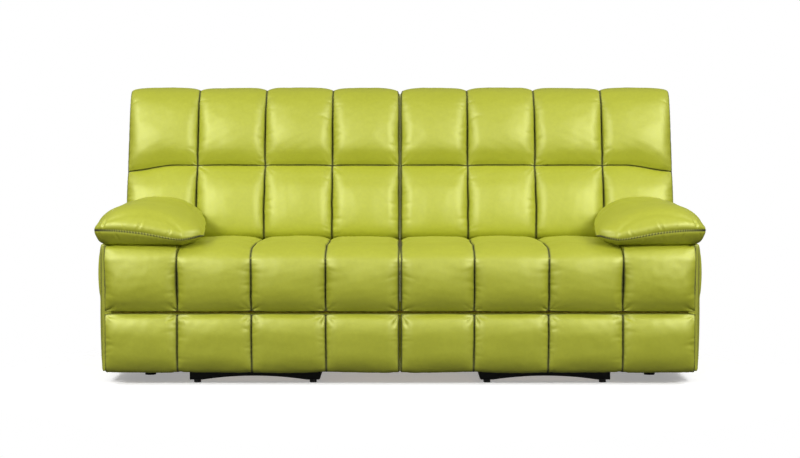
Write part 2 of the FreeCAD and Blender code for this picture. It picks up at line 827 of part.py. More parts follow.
def zigzag(middle):
    """One zigzag wire of square turns, drawn as an outline either side of its path."""
    wire = float(size.spring_wire)
    wide = float(size.spring_width) / 2 - wire / 2
    start = float(front_board_rear)
    end = float(rear_rail_end)
    turns = int((end - start) // float(size.spring_pitch))
    step = (end - start) / turns
    path = [(middle - wide, start)]
    for turn in range(turns):
        side = -1 if turn % 2 == 0 else 1
        if turn:
            path.append((middle + side * wide, start + turn * step))
        path.append((middle + side * wide, start + (turn + 1) * step))
    left = []
    right = []
    for place, (x, d) in enumerate(path):
        steps = []
        if place > 0:
            steps.append((x - path[place - 1][0], d - path[place - 1][1]))
        if place < len(path) - 1:
            steps.append((path[place + 1][0] - x, path[place + 1][1] - d))
        shift_x = sum(-math.copysign(wire / 2, dy) if abs(dy) > abs(dx) else 0 for dx, dy in steps)
        shift_d = sum(math.copysign(wire / 2, dx) if abs(dx) > abs(dy) else 0 for dx, dy in steps)
        if len(steps) == 2 and abs(steps[0][1]) > abs(steps[0][0]) and abs(steps[1][1]) > abs(steps[1][0]):
            shift_x = shift_x / 2
        left.append((x + shift_x, d + shift_d))
        right.append((x - shift_x, d - shift_d))
    ring = [FreeCAD.Vector(x, d, float(seat_rail_top)) for x, d in left + right[::-1]]
    face = Part.Face(Part.makePolygon(ring + ring[:1]))
    return face.extrude(FreeCAD.Vector(0, 0, wire))


def seat_cushion():
    outer = size.seat_cushion_outer_x
    seam = seat_seam_height
    stops = [outer, seams[1], seams[0], half_gap]
    top_edge = [(x, seam, size.seat_crown) for x in stops]
    top_edge[-1] = (half_gap, seam, 0)
    base_edge = [(half_gap, spring_top, 0), (outer, spring_top, 0)]
    columns = front_slab(base_edge + top_edge, 0, rear_rail_end)
    rear = size.seat_cushion_rear
    side = side_slab(
        [
            (size.nose_depth + size.seat_crown / 2, nose_bottom, 0),
            (front_board_rear + 1, nose_bottom, 0),
            (front_board_rear + 1, spring_top, 0),
            (rear, spring_top, 0),
            (rear + size.seat_roll, nose_bottom - size.seat_edge_lift, 0),
            (rear + size.seat_roll, seam - size.seat_roll * 0.4, size.seat_crown / 8),
            (rear - size.seat_roll * 0.6, seam + size.seat_edge_lift, size.seat_crown / 3),
            (size.nose_depth + size.pad_thick, seam + size.seat_crown * 0.6, size.seat_crown / 2),
            (size.nose_depth, nose_bottom + size.seat_crown / 2, size.seat_crown / 8),
        ],
        half_gap,
        outer,
    )
    return formed("seat_cushion", one_solid(columns.common(side)))


# Base frame, glides, stretchers and rear panel

def base_frame():
    rail = (size.glide_high, base_top)
    front_rear = size.front_bar_depth + size.front_bar_thick
    inner_x = (size.mech_inner_x + size.plate_thick - size.rail_width, size.mech_inner_x + size.plate_thick)
    outer_x = (size.mech_outer_x - size.plate_thick, size.mech_outer_x - size.plate_thick + size.rail_width)
    bar_x = (size.front_bar_inner_x, size.front_bar_outer_x)
    pieces = [
        box("front_bar", bar_x, (size.front_bar_depth, front_rear), rail),
        box("inner_base_rail", inner_x, (front_rear, size.rail_rear), rail),
        box("outer_base_rail", outer_x, (front_rear, size.rail_rear), rail),
        box("rear_bar", bar_x, (size.rail_rear, size.rail_rear + size.front_bar_thick), rail),
    ]
    squares = size.arch_span * size.arch_span / 4 + size.arch_rise * size.arch_rise
    arch_radius = squares / (size.arch_rise * 2)
    arch_centre = size.glide_high + size.arch_rise - arch_radius
    through = (size.front_bar_depth - 1, front_rear + 1)
    arch = rod("arch", "y", arch_radius, through, (mech_centre, arch_centre))
    return cut("base_frame", fuse("base_blank", *pieces), arch)


def floor_glides():
    """Round glides under the base frames and the arms of both halves."""
    bar_low = size.front_bar_inner_x + size.front_glide_edge
    bar_high = size.front_bar_outer_x - size.front_glide_edge - size.outer_glide_inset
    front = size.front_bar_depth + size.front_bar_thick / 2
    rear = size.rail_rear + size.front_bar_thick / 2
    arm_x = (size.arm_inner_x + size.arm_outer_x) / 2
    right = []
    floor = size.glide_high * 0
    corners = ((bar_low, front), (bar_high, front), (bar_low, rear), (bar_high, rear))
    for count, corner in enumerate(corners):
        right.append(rod(f"base_glide_{count}", "z", size.glide_radius, (floor, size.glide_high), corner))
    arm_depths = (size.arm_front_depth + size.arm_glide_front, size.panel_depth - size.arm_glide_rear)
    for count, depth in enumerate(arm_depths):
        foot = (floor, size.arm_bottom)
        right.append(rod(f"arm_glide_{count}", "z", size.arm_glide_radius, foot, (arm_x, depth)))
    half = group("glides_right", *right)
    mirror = doc.addObject("Part::Mirroring", "glides_mirror")
    mirror.Source = half
    mirror.Normal = FreeCAD.Vector(1, 0, 0)
    return group("floor_glides", half, mirror)


def cross_stretchers():
    across = (-size.arm_inner_x, size.arm_inner_x)
    height = (base_top, base_top + size.stretcher_high)
    bars = []
    for count, depth in enumerate((mid_stretcher_depth, rear_stretcher_depth)):
        bars.append(box(f"stretcher_{count}", across, (depth, depth + size.stretcher_thick), height))
    return group("cross_stretchers", *bars)


def rear_base_panel():
    depth = (size.panel_depth, size.panel_depth + size.panel_thick)
    sheet_panel = box("base_panel_sheet", (-size.arm_inner_x, size.arm_inner_x), depth,
                      (size.panel_bottom, size.low_rear_height))
    return group("base_panel", sheet_panel)


# Arms: wooden frame, upholstered cover and pad

def arm_outline(inset, bottom):
    """The arm body from the side: upright front, low rear and a rear face that clears the wing."""
    lean = math.tan(math.radians(size.back_lean))
    knee = size.back_pivot_height + size.arm_knee_rise
    rear = size.arm_rear_depth - inset
    top = arm_body_top - inset
    end = size.panel_depth + size.panel_thick - inset
    return [
        (size.arm_front_depth + inset, bottom, 0),
        (end, bottom, 0),
        (end, size.low_rear_height - inset, 0),
        (rear, size.low_rear_height - inset, 0),
        (rear, knee, 0),
        (rear + (top - knee) * lean, top, 0),
        (size.arm_front_depth + inset, top, 0),
    ]


def arm_cover():
    inner = size.arm_inner_x
    outer = size.arm_outer_x
    top = arm_body_top
    across = front_slab(
        [
            (inner, size.arm_bottom, 0),
            (outer, size.arm_bottom, size.arm_bulge / 4),
            (outer + size.arm_bulge / 2, size.arm_bottom + size.arm_bulge_rise, size.arm_bulge),
            (outer, top, 0),
            (inner, top, 0),
        ],
        size.arm_front_depth,
        size.panel_depth + size.panel_thick,
    )
    body = across.common(side_slab(arm_outline(0, size.arm_bottom), inner, outer + size.arm_bulge * 2))
    hollow = side_slab(arm_outline(size.cover_thick, size.glide_high), inner + size.cover_thick,
                       outer - size.outer_wall)
    shell = formed("arm_cover_shell", one_solid(body.cut(hollow)))
    half_long = size.bezel_long / 2 + size.axial_play
    half_high = size.bezel_high / 2 + size.axial_play
    pocket = box("bezel_pocket", (outer - size.outer_wall - 1, outer + size.bezel_high),
                 (size.bezel_depth - half_long, size.bezel_depth + half_long),
                 (size.bezel_height - half_high, size.bezel_height + half_high))
    hole = rod("cover_cable_hole", "x", size.cable_radius + size.axial_play,
               (inner - 1, inner + size.cover_thick + 1), (size.kick_depth, size.cable_low_height))
    return cut("arm_cover", shell, pocket, hole, *arm_bolt_rods("cover_hole", size.axial_play))


def arm_frame():
    """Wooden box frame that fills the cover's hollow and carries the pad, seat bolts and glides."""
    thick = size.arm_board
    inner = size.arm_inner_x + size.cover_thick
    outer = size.arm_outer_x - size.outer_wall
    front = size.arm_front_depth + size.cover_thick
    rear = size.arm_rear_depth - size.cover_thick
    end = size.panel_depth + size.panel_thick - size.cover_thick
    low = size.arm_bottom
    top = arm_body_top - size.cover_thick
    step = size.low_rear_height - size.cover_thick
    pieces = [
        box("inner_arm_board", (inner, inner + thick), (front, rear), (low, top)),
        box("front_arm_board", (inner, outer), (front, front + thick), (low, top)),
        box("rear_arm_board", (inner, outer), (rear - thick, rear), (low, top)),
        box("top_arm_board", (inner, outer), (front, rear), (top - thick, top)),
        box("floor_arm_board", (inner, outer), (front, end), (low, low + thick)),
        box("inner_rear_board", (inner, inner + thick), (rear, end), (low, step)),
        box("end_arm_board", (inner, outer), (end - thick, end), (low, step)),
    ]
    holes = arm_bolt_rods("arm_frame_hole", size.axial_play)
    holes.append(rod("frame_cable_hole", "x", size.cable_radius + size.axial_play,
                     (inner - 1, inner + thick + 1), (size.kick_depth, size.cable_low_height)))
    return cut("arm_frame", fuse("arm_frame_blank", *pieces), *holes)


def arm_pad():
    inner = size.pad_inner_x
    outer = size.pad_outer_x
    wide = outer - inner
    high = size.arm_pad_high
    bottom = arm_body_top
    top = bottom + high
    front = front_slab(
        [
            (inner + wide * 0.02, bottom + high * 0.15, high * 0.014),
            (size.arm_inner_x, bottom, 0),
            (outer - wide * 0.084, bottom, high * 0.062),
            (outer, bottom + high * 0.37, high * 0.055),
            (outer - wide * 0.114, top - high * 0.178, high * 0.041),
            (outer - wide * 0.343, top, high * 0.034),
            (inner + wide * 0.355, top - high * 0.082, high * 0.048),
            (inner + wide * 0.127, top - high * 0.356, high * 0.048),
            (inner, bottom + high * 0.274, high * 0.027),
        ],
        size.pad_front_depth,
        size.panel_depth,
    )
    lean = math.tan(math.radians(size.back_lean))
    knee = size.back_pivot_height + size.arm_knee_rise
    clear = size.arm_rear_depth
    long = clear - size.pad_front_depth
    rear_top = top - high * 0.164
    side = side_slab(
        [
            (size.pad_front_depth + long * 0.05, bottom, 0),
            (clear + (bottom - knee) * lean, bottom, 0),
            (clear + (rear_top - knee) * lean, rear_top, high * 0.055),
            (clear - long * 0.0765, top, high * 0.02),
            (size.pad_front_depth + long * 0.21, top - high * 0.027, high * 0.11),
            (size.pad_front_depth, bottom + high * 0.3, high * 0.068),
        ],
        size.pad_inner_x - wide * 0.05,
        size.pad_outer_x + wide * 0.05,
    )
    plan = plan_slab(
        [
            (inner, size.pad_front_depth + long * 0.065, long * 0.019),
            (inner + wide * 0.152, size.pad_front_depth, long * 0.0057),
            (outer - wide * 0.152, size.pad_front_depth, long * 0.019),
            (outer, size.pad_front_depth + long * 0.096, long * 0.0057),
            (outer - wide * 0.01, size.panel_depth, 0),
            (inner + wide * 0.168, size.panel_depth, long * 0.0076),
        ],
        bottom,
        top + high * 0.1,
    )
    return formed("arm_pad", one_solid(front.common(side).common(plan)))


# Release handle in its recessed bezel, and the cable to the kick lever

def handle_bezel():
    face = size.bezel_face_x
    flange = (face - size.bezel_flange, face)
    half_long = size.bezel_long / 2
    half_high = size.bezel_high / 2
    lip = size.flange_lip
    floor = face - size.cup_deep
    wide = (size.bezel_depth - half_long, size.bezel_depth + half_long)
    high = (size.bezel_height - half_high, size.bezel_height + half_high)
    wall = size.cup_wall
    pieces = [
        box("bezel_face", flange, (wide[0] - lip, wide[1] + lip), (high[0] - lip, high[1] + lip)),
        box("bezel_cup", (floor, face), wide, high),
    ]
    mouth = box("bezel_mouth", (floor + wall, face + 1), (wide[0] + wall, wide[1] - wall),
                (high[0] + wall, high[1] - wall))
    pin = rod("handle_pin_hole", "z", size.handle_pin_radius + size.pin_play,
              (high[0] + 0.5, high[1] - 0.5), handle_pivot())
    return cut("handle_bezel", fuse("bezel_blank", *pieces), mouth, pin)


def handle_pivot():
    """The handle's upright pin, as places across and deep."""
    return (size.bezel_face_x - size.handle_inset, size.bezel_depth - size.bezel_long / 2 + size.handle_end)


def release_handle():
    """Paddle that lies flush in the cup and swings out by its rear end."""
    pivot = handle_pivot()
    low = size.bezel_height - size.bezel_high / 2
    high = size.bezel_height + size.bezel_high / 2
    play = size.cup_wall + size.paddle_play
    half = size.paddle_thick / 2
    across = (pivot[0] - half, pivot[0] + half)
    pieces = [
        box("paddle", across, (pivot[1], pivot[1] + size.paddle_long), (low + play, high - play)),
        rod("paddle_barrel", "z", half + 1, (low + play, high - play), pivot),
        rod("paddle_pin", "z", size.handle_pin_radius, (low + 1, high - 1), pivot),
    ]
    return fuse("release_handle", *pieces)


def release_cable():
    """Sheathed cable from the cup down inside the arm and across to the kick lever."""
    start_x = float(size.bezel_face_x - size.cup_deep - size.axial_play)
    end_x = float(size.mech_outer_x + size.plate_play + size.plate_thick + 1)
    drop_x = float(size.arm_outer_x - size.outer_wall - size.cable_inset)
    depth = float(size.kick_depth)
    high = float(size.cable_start_height)
    low = float(size.cable_low_height)
    bend = float(size.cable_bend)
    lean = bend * (1 - math.sqrt(0.5))

    def at(x, z):
        return FreeCAD.Vector(x, depth, z)

    upper = Part.Arc(at(drop_x + bend, high), at(drop_x + lean, high - lean), at(drop_x, high - bend))
    lower = Part.Arc(at(drop_x, low + bend), at(drop_x - lean, low + lean), at(drop_x - bend, low))
    wire = Part.Wire([
        Part.makeLine(at(start_x, high), at(drop_x + bend, high)),
        upper.toShape(),
        Part.makeLine(at(drop_x, high - bend), at(drop_x, low + bend)),
        lower.toShape(),
        Part.makeLine(at(drop_x - bend, low), at(end_x, low)),
    ])
    ring = Part.Wire(Part.makeCircle(float(size.cable_radius), at(start_x, high), FreeCAD.Vector(-1, 0, 0)))
    print("release cable length mm:", round(wire.Length, 1))
    return formed("release_cable", wire.makePipeShell([ring], True, False))


# Back, drawn in its own leaning frame: depth from the pivot, height along the back

def back_frame():
    deep = (-size.frame_front, size.frame_rear)
    low = (size.rail_low, size.rail_low + size.back_rail_high)
    top = size.back_frame_top
    inner = half_gap + size.back_frame_gap
    outer = size.back_outer_x - size.side_cover_thick
    middle = mech_centre
    post = size.post_wide
    relieved = size.frame_rear - size.back_rail_relief
    pieces = [
        box("bottom_back_rail", (inner, outer), (-size.frame_front, relieved), low),
        box("top_back_rail", (inner, outer), deep, (top - size.back_rail_high, top)),
        box("inner_post", (inner, inner + post), deep, (size.rail_low, top)),
        box("middle_post", (middle - post / 2, middle + post / 2), deep, (size.rail_low, top)),
        box("wing_post", (seams[2], seams[2] + post), deep, (size.rail_low, top)),
        box("outer_post", (outer - post, outer), deep, (size.rail_low, top)),
    ]
    return leaned(fuse("back_frame", *pieces))


def back_webbing():
    straps = []
    front = -size.frame_front - size.strap_thick
    run = (size.rail_low, size.back_frame_top - size.back_frame_gap)
    wide = size.strap_wide
    span = (half_gap + size.back_frame_gap * 2, size.back_outer_x - size.back_frame_gap * 3)
    for count, columns in enumerate((0.35, 0.73, 1.58, 2.15, 2.5, 3.46)):
        place = size.column_width * columns
        across = (place - wide / 2, place + wide / 2)
        straps.append(box(f"upright_strap_{count}", across, (front, -size.frame_front), run))
    for count, share in enumerate((0.6, 0.96, 1.35)):
        low = size.back_row_seam * share
        straps.append(box(f"cross_strap_{count}", span, (front, -size.frame_front), (low, low + wide)))
    return leaned(fuse("back_webbing", *straps))


def back_brackets():
    """Plates that hang the back on the studs of the side plates."""
    halves = []
    limb_front = -size.frame_front - size.bracket_limb
    face = -size.frame_front
    hub = size.ear_radius
    for side, web in enumerate(stack(arm_layer, size.plate_thick)):
        wide = size.back_flange_wide
        flange = (web[1], web[1] + wide) if side == 0 else (web[0] - wide, web[0])
        pieces = [
            box(f"back_limb_{side}", web, (limb_front, size.ear_radius * 0), (-hub, hub)),
            rod(f"back_hub_{side}", "x", hub, web, (size.ear_radius * 0, size.ear_radius * 0)),
            box(f"back_web_{side}", web, (limb_front, face), (-hub, size.bracket_top)),
            box(f"back_flange_{side}", flange, (face - size.bracket_flange, face),
                (size.rail_low, size.bracket_top)),
        ]
        hole = rod(f"back_hole_{side}", "x", size.back_stud_radius + size.link_play,
                   (web[0] - 1, web[1] + 1), (size.ear_radius * 0, size.ear_radius * 0))
        halves.append(cut(f"back_bracket_{side}", fuse(f"back_bracket_blank_{side}", *pieces), hole))
    return leaned(group("back_brackets", *halves))


def bowed_back(outer, low, high):
    """Back columns from above, bowed forwards between their seams."""
    rise = size.crown_front - size.back_seam_front
    stops = [half_gap] + seams + [outer]
    corners = [(x, -size.back_seam_front, rise) for x in stops]
    corners[-1] = (outer, -size.back_seam_front, 0)
    return plan_slab(corners + [(outer, size.frame_rear, 0), (half_gap, size.frame_rear, 0)], low, high)


def lumbar_cushion():
    outer = size.back_outer_x
    rise = size.crown_front - size.back_seam_front
    rear = -size.frame_front - size.strap_thick
    top = size.back_row_seam - size.row_gap / 2
    columns = bowed_back(outer, size.wing_bottom, top)

    def row(bottom, low, high):
        return side_slab(
            [
                (rear, bottom, 0),
                (rear, top, 0),
                (-size.back_seam_front, top, rise),
                (-size.back_seam_front - rise / 6, size.lumbar_bottom, 0),
                (rear - size.crown_front * 0.16, bottom, 0),
            ],
            low,
            high,
        )

    inner = columns.common(row(size.lumbar_bottom, half_gap, seams[2]))
    wing = columns.common(row(size.wing_bottom, seams[2], outer))
    return leaned(formed("lumbar_cushion", one_solid(inner.fuse(wing))))


def head_cushion():
    outer = size.back_outer_x
    rise = size.crown_front - size.back_seam_front
    rear = -size.frame_front - size.strap_thick
    bottom = size.back_row_seam + size.row_gap / 2
    top = size.head_top
    frame_cap = size.back_frame_top + size.axial_play
    cap_rear = size.frame_rear - size.strap_thick
    columns = bowed_back(outer, bottom, top + size.head_crown * 2)
    row = side_slab(
        [
            (rear, bottom, 0),
            (rear, frame_cap, 0),
            (cap_rear, frame_cap, 0),
            (cap_rear, top - size.head_drop / 2, size.head_crown),
            (-size.back_seam_front - size.head_drop / 2, top - size.head_drop, rise - size.head_drop / 4),
            (-size.back_seam_front, bottom, 0),
        ],
        half_gap,
        outer,
    )
    crown = size.head_crown
    round_end = crown * 2
    edge = [
        (half_gap, bottom, 0),
        (outer, bottom, 0),
        (outer, top - round_end, crown / 2),
        (outer - round_end, top, crown),
        (seams[2], top, crown),
        (seams[1], top, crown),
        (seams[0], top, crown),
        (half_gap, top, 0),
    ]
    front = front_slab(edge, -size.crown_front - size.head_crown, size.frame_rear)
    return leaned(formed("head_cushion", one_solid(columns.common(row).common(front))))


def rear_cover():
    """Rear panel of the back with the return that closes its outer side."""
    outer = size.back_outer_x
    rear = size.frame_rear
    front = -size.frame_front - size.strap_thick
    pieces = [
        box("rear_panel", (half_gap, outer), (rear, rear + size.rear_cover_thick),
            (size.rear_cover_bottom, size.head_top)),
        box("side_return", (outer - size.side_cover_thick, outer), (front, rear),
            (size.wing_bottom, size.back_frame_top)),
    ]
    return leaned(fuse("rear_cover", *pieces))


# The whole sofa

single(floor_glides(), "floor_glides")
single(cross_stretchers(), "cross_stretchers")
single(rear_base_panel(), "rear_base_panel")
paired = {
    "base_frame": base_frame,
    "side_plates": side_plates,
    "seat_frame": seat_frame,
    "seat_springs": seat_springs,
    "seat_cushion": seat_cushion,
    "hinge_fixed_leaves": fixed_leaves,
    "arm_frame": arm_frame,
    "arm_cover": arm_cover,
    "arm_pad": arm_pad,
    "arm_bolts": lambda: group("arm_bolts", *arm_bolt_rods("arm_bolt", 0)),
    "handle_bezel": handle_bezel,
    "release_cable": release_cable,
    "footrest_spring": footrest_spring,
    "footrest_lower_pad": footrest_lower_pad,
    "footrest_upper_pad": footrest_upper_pad,
    "footrest_board": footrest_board,
    "footrest_brackets": footrest_brackets,
    "hinge_moving_leaves": moving_leaves,
    "drive_arms": drive_arms,
    "push_arms": push_arms,
    "kick_lever": kick_lever,
    "release_handle": release_handle,
    "back_frame": back_frame,
    "back_webbing": back_webbing,
    "back_brackets": back_brackets,
    "lumbar_cushion": lumbar_cushion,
    "head_cushion": head_cushion,
    "rear_cover": rear_cover,
}
for name, make in paired.items():
    both_halves(make(), name)
doc.recompute()

faults = [item.Name for item in doc.Objects if {"Invalid", "Error"} & set(item.State)]
faults += [item.Label for item in nodes if item.Shape.isNull() or not item.Shape.isValid()]
if faults:
    raise RuntimeError("faulty objects: " + ", ".join(faults))

os.makedirs("parts", exist_ok=True)
for item in nodes:
    item.Shape.exportStep(os.path.join("parts", item.Label + ".step"))
print("nodes:", len(nodes))
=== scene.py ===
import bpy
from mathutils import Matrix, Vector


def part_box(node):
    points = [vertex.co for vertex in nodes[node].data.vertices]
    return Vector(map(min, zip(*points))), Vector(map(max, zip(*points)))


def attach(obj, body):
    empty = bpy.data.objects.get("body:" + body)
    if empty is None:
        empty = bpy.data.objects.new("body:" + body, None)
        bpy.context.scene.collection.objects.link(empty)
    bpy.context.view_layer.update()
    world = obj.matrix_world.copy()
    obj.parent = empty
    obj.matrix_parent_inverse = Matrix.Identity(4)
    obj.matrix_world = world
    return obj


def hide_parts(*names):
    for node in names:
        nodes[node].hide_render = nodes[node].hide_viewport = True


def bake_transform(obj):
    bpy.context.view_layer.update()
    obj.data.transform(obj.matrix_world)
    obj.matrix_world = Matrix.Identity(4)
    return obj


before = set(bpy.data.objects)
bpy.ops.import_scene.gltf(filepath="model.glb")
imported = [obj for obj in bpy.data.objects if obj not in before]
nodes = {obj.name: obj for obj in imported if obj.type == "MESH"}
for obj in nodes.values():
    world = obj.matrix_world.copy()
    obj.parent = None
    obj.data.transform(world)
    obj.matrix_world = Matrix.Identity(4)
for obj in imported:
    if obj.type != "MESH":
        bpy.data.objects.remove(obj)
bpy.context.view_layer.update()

import math

import bpy
import numpy as np
from mathutils import Vector

scene = bpy.context.scene

# Shapes are written in millimetres: x outward from the middle, depth behind the front face, height
MM = 0.001
FRONT_PLANE = -0.473
SIDES = (("right", 1.0), ("left", -1.0))
HALF_GAP = 4.0
SEAMS = [260.0, 520.0, 780.0]
SPLIT = 0.5
FRONT_OUTER = 1034.0
BACK_OUTER = 1048.0
BACK_PIVOT = (655.0, 335.0)
BACK_LEAN = math.radians(17.0)


# Curves and number fields

def spline(points, count):
    """Evenly spaced points on a smooth curve through the given ones; extra columns ride along."""
    points = np.array(points, float)
    gaps = np.linalg.norm(np.diff(points[:, :2], axis=0), axis=1)
    at = np.concatenate([[0.0], np.cumsum(gaps)])
    slopes = np.zeros_like(points)
    slopes[1:-1] = (points[2:] - points[:-2]) / (at[2:] - at[:-2])[:, None]
    slopes[0] = (points[1] - points[0]) / gaps[0]
    slopes[-1] = (points[-1] - points[-2]) / gaps[-1]
    want = np.linspace(0, at[-1], count)
    span = np.clip(np.searchsorted(at, want, "right") - 1, 0, len(gaps) - 1)
    h = gaps[span][:, None]
    t = ((want - at[span]) / gaps[span])[:, None]
    a, b = points[span], points[span + 1]
    ma, mb = slopes[span] * h, slopes[span + 1] * h
    return (
        a * (2 * t**3 - 3 * t**2 + 1) + ma * (t**3 - 2 * t**2 + t)
        + b * (3 * t**2 - 2 * t**3) + mb * (t**3 - t**2)
    )


def share_of(values, start, length):
    """How far values have come from start over a length, held between 0 and 1."""
    return np.clip((values - start) / length, 0, 1)


def smoothstep(t):
    return t * t * (3 - 2 * t)


def bell(away, width):
    return np.exp(-(away / width) ** 2)


def arch(away, flat, steep):
    """1 at no distance and 0 at a distance of 1, level first and then falling off steeply."""
    return np.clip(1 - np.clip(away, 0, 1) ** flat, 0, 1) ** (1 / steep)


def seam_weight(gap, strength, width):
    """1 on a sewn line, 0 in the open leather beside it; the leather is painted darker by this
    weight.
    """
    return np.clip(strength - gap / width, 0, 1)


def unit(vectors, least):
    return vectors / np.maximum(np.linalg.norm(vectors, axis=-1, keepdims=True), least)


WAVES = 14
WAVE_LENGTHS = (0.6, 1.6)
WAVE_LEVEL = 1.2


def noise(points, scale, seed):
    """Smooth values between about -1 and 1 from a few crossing waves."""
    rng = np.random.default_rng(seed)
    total = np.zeros(len(points))
    for _ in range(WAVES):
        way = rng.normal(size=3)
        way /= np.linalg.norm(way)
        long = scale * rng.uniform(*WAVE_LENGTHS)
        total += np.sin(points @ way * (2 * math.pi / long) + rng.uniform(0, 2 * math.pi))
    return total / WAVES ** 0.5 / WAVE_LEVEL


# Crowned cells between sewn lines

STEP = 4.6
ROLL_OVER = 46.0
SIDE_SHARE = 0.68
EVEN_SHARE = 0.45
SWELL = 0.05
SWELL_SCALE = 240.0
CROWN_DEPTH = 26.0
# Strength and width of the painted shade along column seams and along row seams
COLUMN_SEAM = (1.15, 6.5)
ROW_SEAM = (1.0, 2.6)

PUCKER_SEED = (7, 1)
PUCKER_FIRST = (0, 14)
PUCKER_NEXT = (11, 30)
PUCKER_WIDE = (4.5, 7.5)
PUCKER_SHORT = (9, 24)
PUCKER_LONG = (26, 42)
PUCKER_SHORT_SHARE = 0.8
PUCKER_DEEP = (0.6, 2.2)
PUCKER_SLANT = (-0.35, 0.35)
PUCKER_END = 110

CREASES = 3
CREASE_SEED = (13, 5)
CREASE_ANGLE = (18, 72)
CREASE_REACH = (28, 62)
CREASE_DEEP = (1.0, 3.4)
CREASE_WIDE = (4.0, 6.5)
CREASE_MIDDLE = 0.45
CREASE_HALF = 0.5
CREASE_FAN = (0.6, 90, 60)
CREASE_BACK = -4


class Patch:
    """A grid of points with its seam weights, and which of them stay where they are."""

    def __init__(self, points, seam, pinned):
        self.points = points
        self.seam = seam
        self.pinned = pinned


def column_stops(low, high, count):
    """Places across one column and their shares of it, closer together beside its seams."""
    even = np.linspace(0, 1, count)
    bunched = 0.5 - 0.5 * np.cos(math.pi * even)
    t = EVEN_SHARE * even + (1 - EVEN_SHARE) * bunched
    return low + (high - low) * t, t


def pillow(t, gap, roll):
    """A cell's rise across its width: sides that roll over within a short way, and a slow crown."""
    beside = np.clip(1 - gap / roll, 0, 1)
    return SIDE_SHARE * np.sqrt(1 - beside * beside) + (1 - SIDE_SHARE) * (1 - (2 * t - 1) ** 2)


def unevenness(run, across, seed):
    """Slow swells over the grid, so that no two cells are filled alike."""
    u, v = np.meshgrid(across, run)
    flat = np.column_stack([u.ravel(), v.ravel(), np.zeros(u.size)])
    return noise(flat, SWELL_SCALE, seed).reshape(u.shape)


def own_rng(seed, pair):
    times, plus = pair
    return np.random.default_rng(seed * times + plus)


def puckers(run, across, stops, seed):
    """Short dents across the column seams where the thread gathers the leather."""
    rng = own_rng(seed, PUCKER_SEED)
    dent = np.zeros((len(run), len(across)))
    for stop in stops:
        for side in (-1.0, 1.0):
            away = (across - stop) * side
            mask = (away > -0.1) & (away < PUCKER_END)
            if not mask.any():
                continue
            at = rng.uniform(*PUCKER_FIRST)
            while at < run[-1]:
                wide = rng.uniform(*PUCKER_WIDE)
                short = rng.uniform() < PUCKER_SHORT_SHARE
                reach = rng.uniform(*(PUCKER_SHORT if short else PUCKER_LONG))
                deep = rng.uniform(*PUCKER_DEEP)
                slant = rng.uniform(*PUCKER_SLANT)
                line = run[:, None] - at - slant * away[None, mask]
                dent[:, mask] += deep * bell(line, wide) * bell(away[mask], reach)[None, :]
                at += rng.uniform(*PUCKER_NEXT)
    return dent


def corner_creases(run, across, stops, seed):
    """Folds that fan out from the crossings of the seams into the cells."""
    rng = own_rng(seed, CREASE_SEED)
    least, far, fade = CREASE_FAN
    fold = np.zeros((len(run), len(across)))
    for end in (0.0, run[-1]):
        for stop in stops:
            for side in (-1.0, 1.0):
                away = (across - stop)[None, :] * side
                up = np.abs(run - end)[:, None]
                for _ in range(CREASES):
                    angle = math.radians(rng.uniform(*CREASE_ANGLE))
                    reach = rng.uniform(*CREASE_REACH)
                    deep = rng.uniform(*CREASE_DEEP)
                    wide = rng.uniform(*CREASE_WIDE)
                    forward = away * math.cos(angle) + up * math.sin(angle)
                    beside = -away * math.sin(angle) + up * math.cos(angle)
                    spread = wide * (least + np.clip(forward, 0, far) / fade)
                    along = bell(forward - reach * CREASE_MIDDLE, reach * CREASE_HALF)
                    inside = (away > CREASE_BACK) * (forward > 0)
                    fold += deep * bell(beside, spread) * along * inside
    return fold


def cell_patch(stops, path, seed, step=STEP, roll=ROLL_OVER, creased=1.0):
    """Crowned cells between column seams, following a seam path and a crown path.

    path rows: seam depth, seam height, crown depth, crown height. The result is a grid
    [along the path, across] of x, depth, height.
    """
    path = np.array(path, float)
    length = np.linalg.norm(np.diff(path[:, 2:4], axis=0), axis=1).sum()
    order = np.column_stack([path[:, 2:4], path[:, 0:2]])
    curve = spline(order, int(length / step) + 2)
    crown, seam_path = curve[:, 0:2], curve[:, 2:4]
    run = np.linspace(0, length, len(crown))
    across, rise, near = [], [], []
    for number, (low, high) in enumerate(zip(stops[:-1], stops[1:])):
        x, t = column_stops(low, high, int((high - low) / step) + 3)
        gap = np.minimum(x - low, high - x)
        lift = pillow(t, gap, roll)
        first = 1 if number else 0
        across.append(x[first:])
        rise.append(lift[first:])
        near.append(gap[first:])
    across, rise, near = map(np.concatenate, (across, rise, near))
    lift = rise[None, :] * (1 + SWELL * unevenness(run, across, seed))
    lift -= creased * puckers(run, across, stops, seed) / CROWN_DEPTH
    fold = creased * corner_creases(run, across, stops, seed)
    out = crown - seam_path
    grid = np.zeros((len(run), len(across), 3))
    grid[:, :, 0] = across[None, :]
    grid[:, :, 1:] = seam_path[:, None, :] + out[:, None, :] * lift[:, :, None]
    grid[:, :, 1:] -= unit(out, 1e-6)[:, None, :] * fold[:, :, None]
    # Seam weights: painted shade on the sewn lines and in the valleys beside them
    ends = np.minimum(run, length - run)
    seam = np.maximum(
        seam_weight(near, *COLUMN_SEAM)[None, :], seam_weight(ends, *ROW_SEAM)[:, None])
    pinned = np.repeat((near < 0.5)[None, :], len(run), axis=0)
    return Patch(grid, seam, pinned)


def matched_inner(outer_path, inner_path, rows):
    """Inner points that keep step with the outer path's own control points."""
    outer = np.array(outer_path, float)
    gaps = np.linalg.norm(np.diff(outer[:, 2:4], axis=0), axis=1)
    at = np.concatenate([[0.0], np.cumsum(gaps)]) / gaps.sum()
    want = np.linspace(0, 1, rows)
    inner = np.array(inner_path, float)
    return np.column_stack([np.interp(want, at, inner[:, 0]), np.interp(want, at, inner[:, 1])])


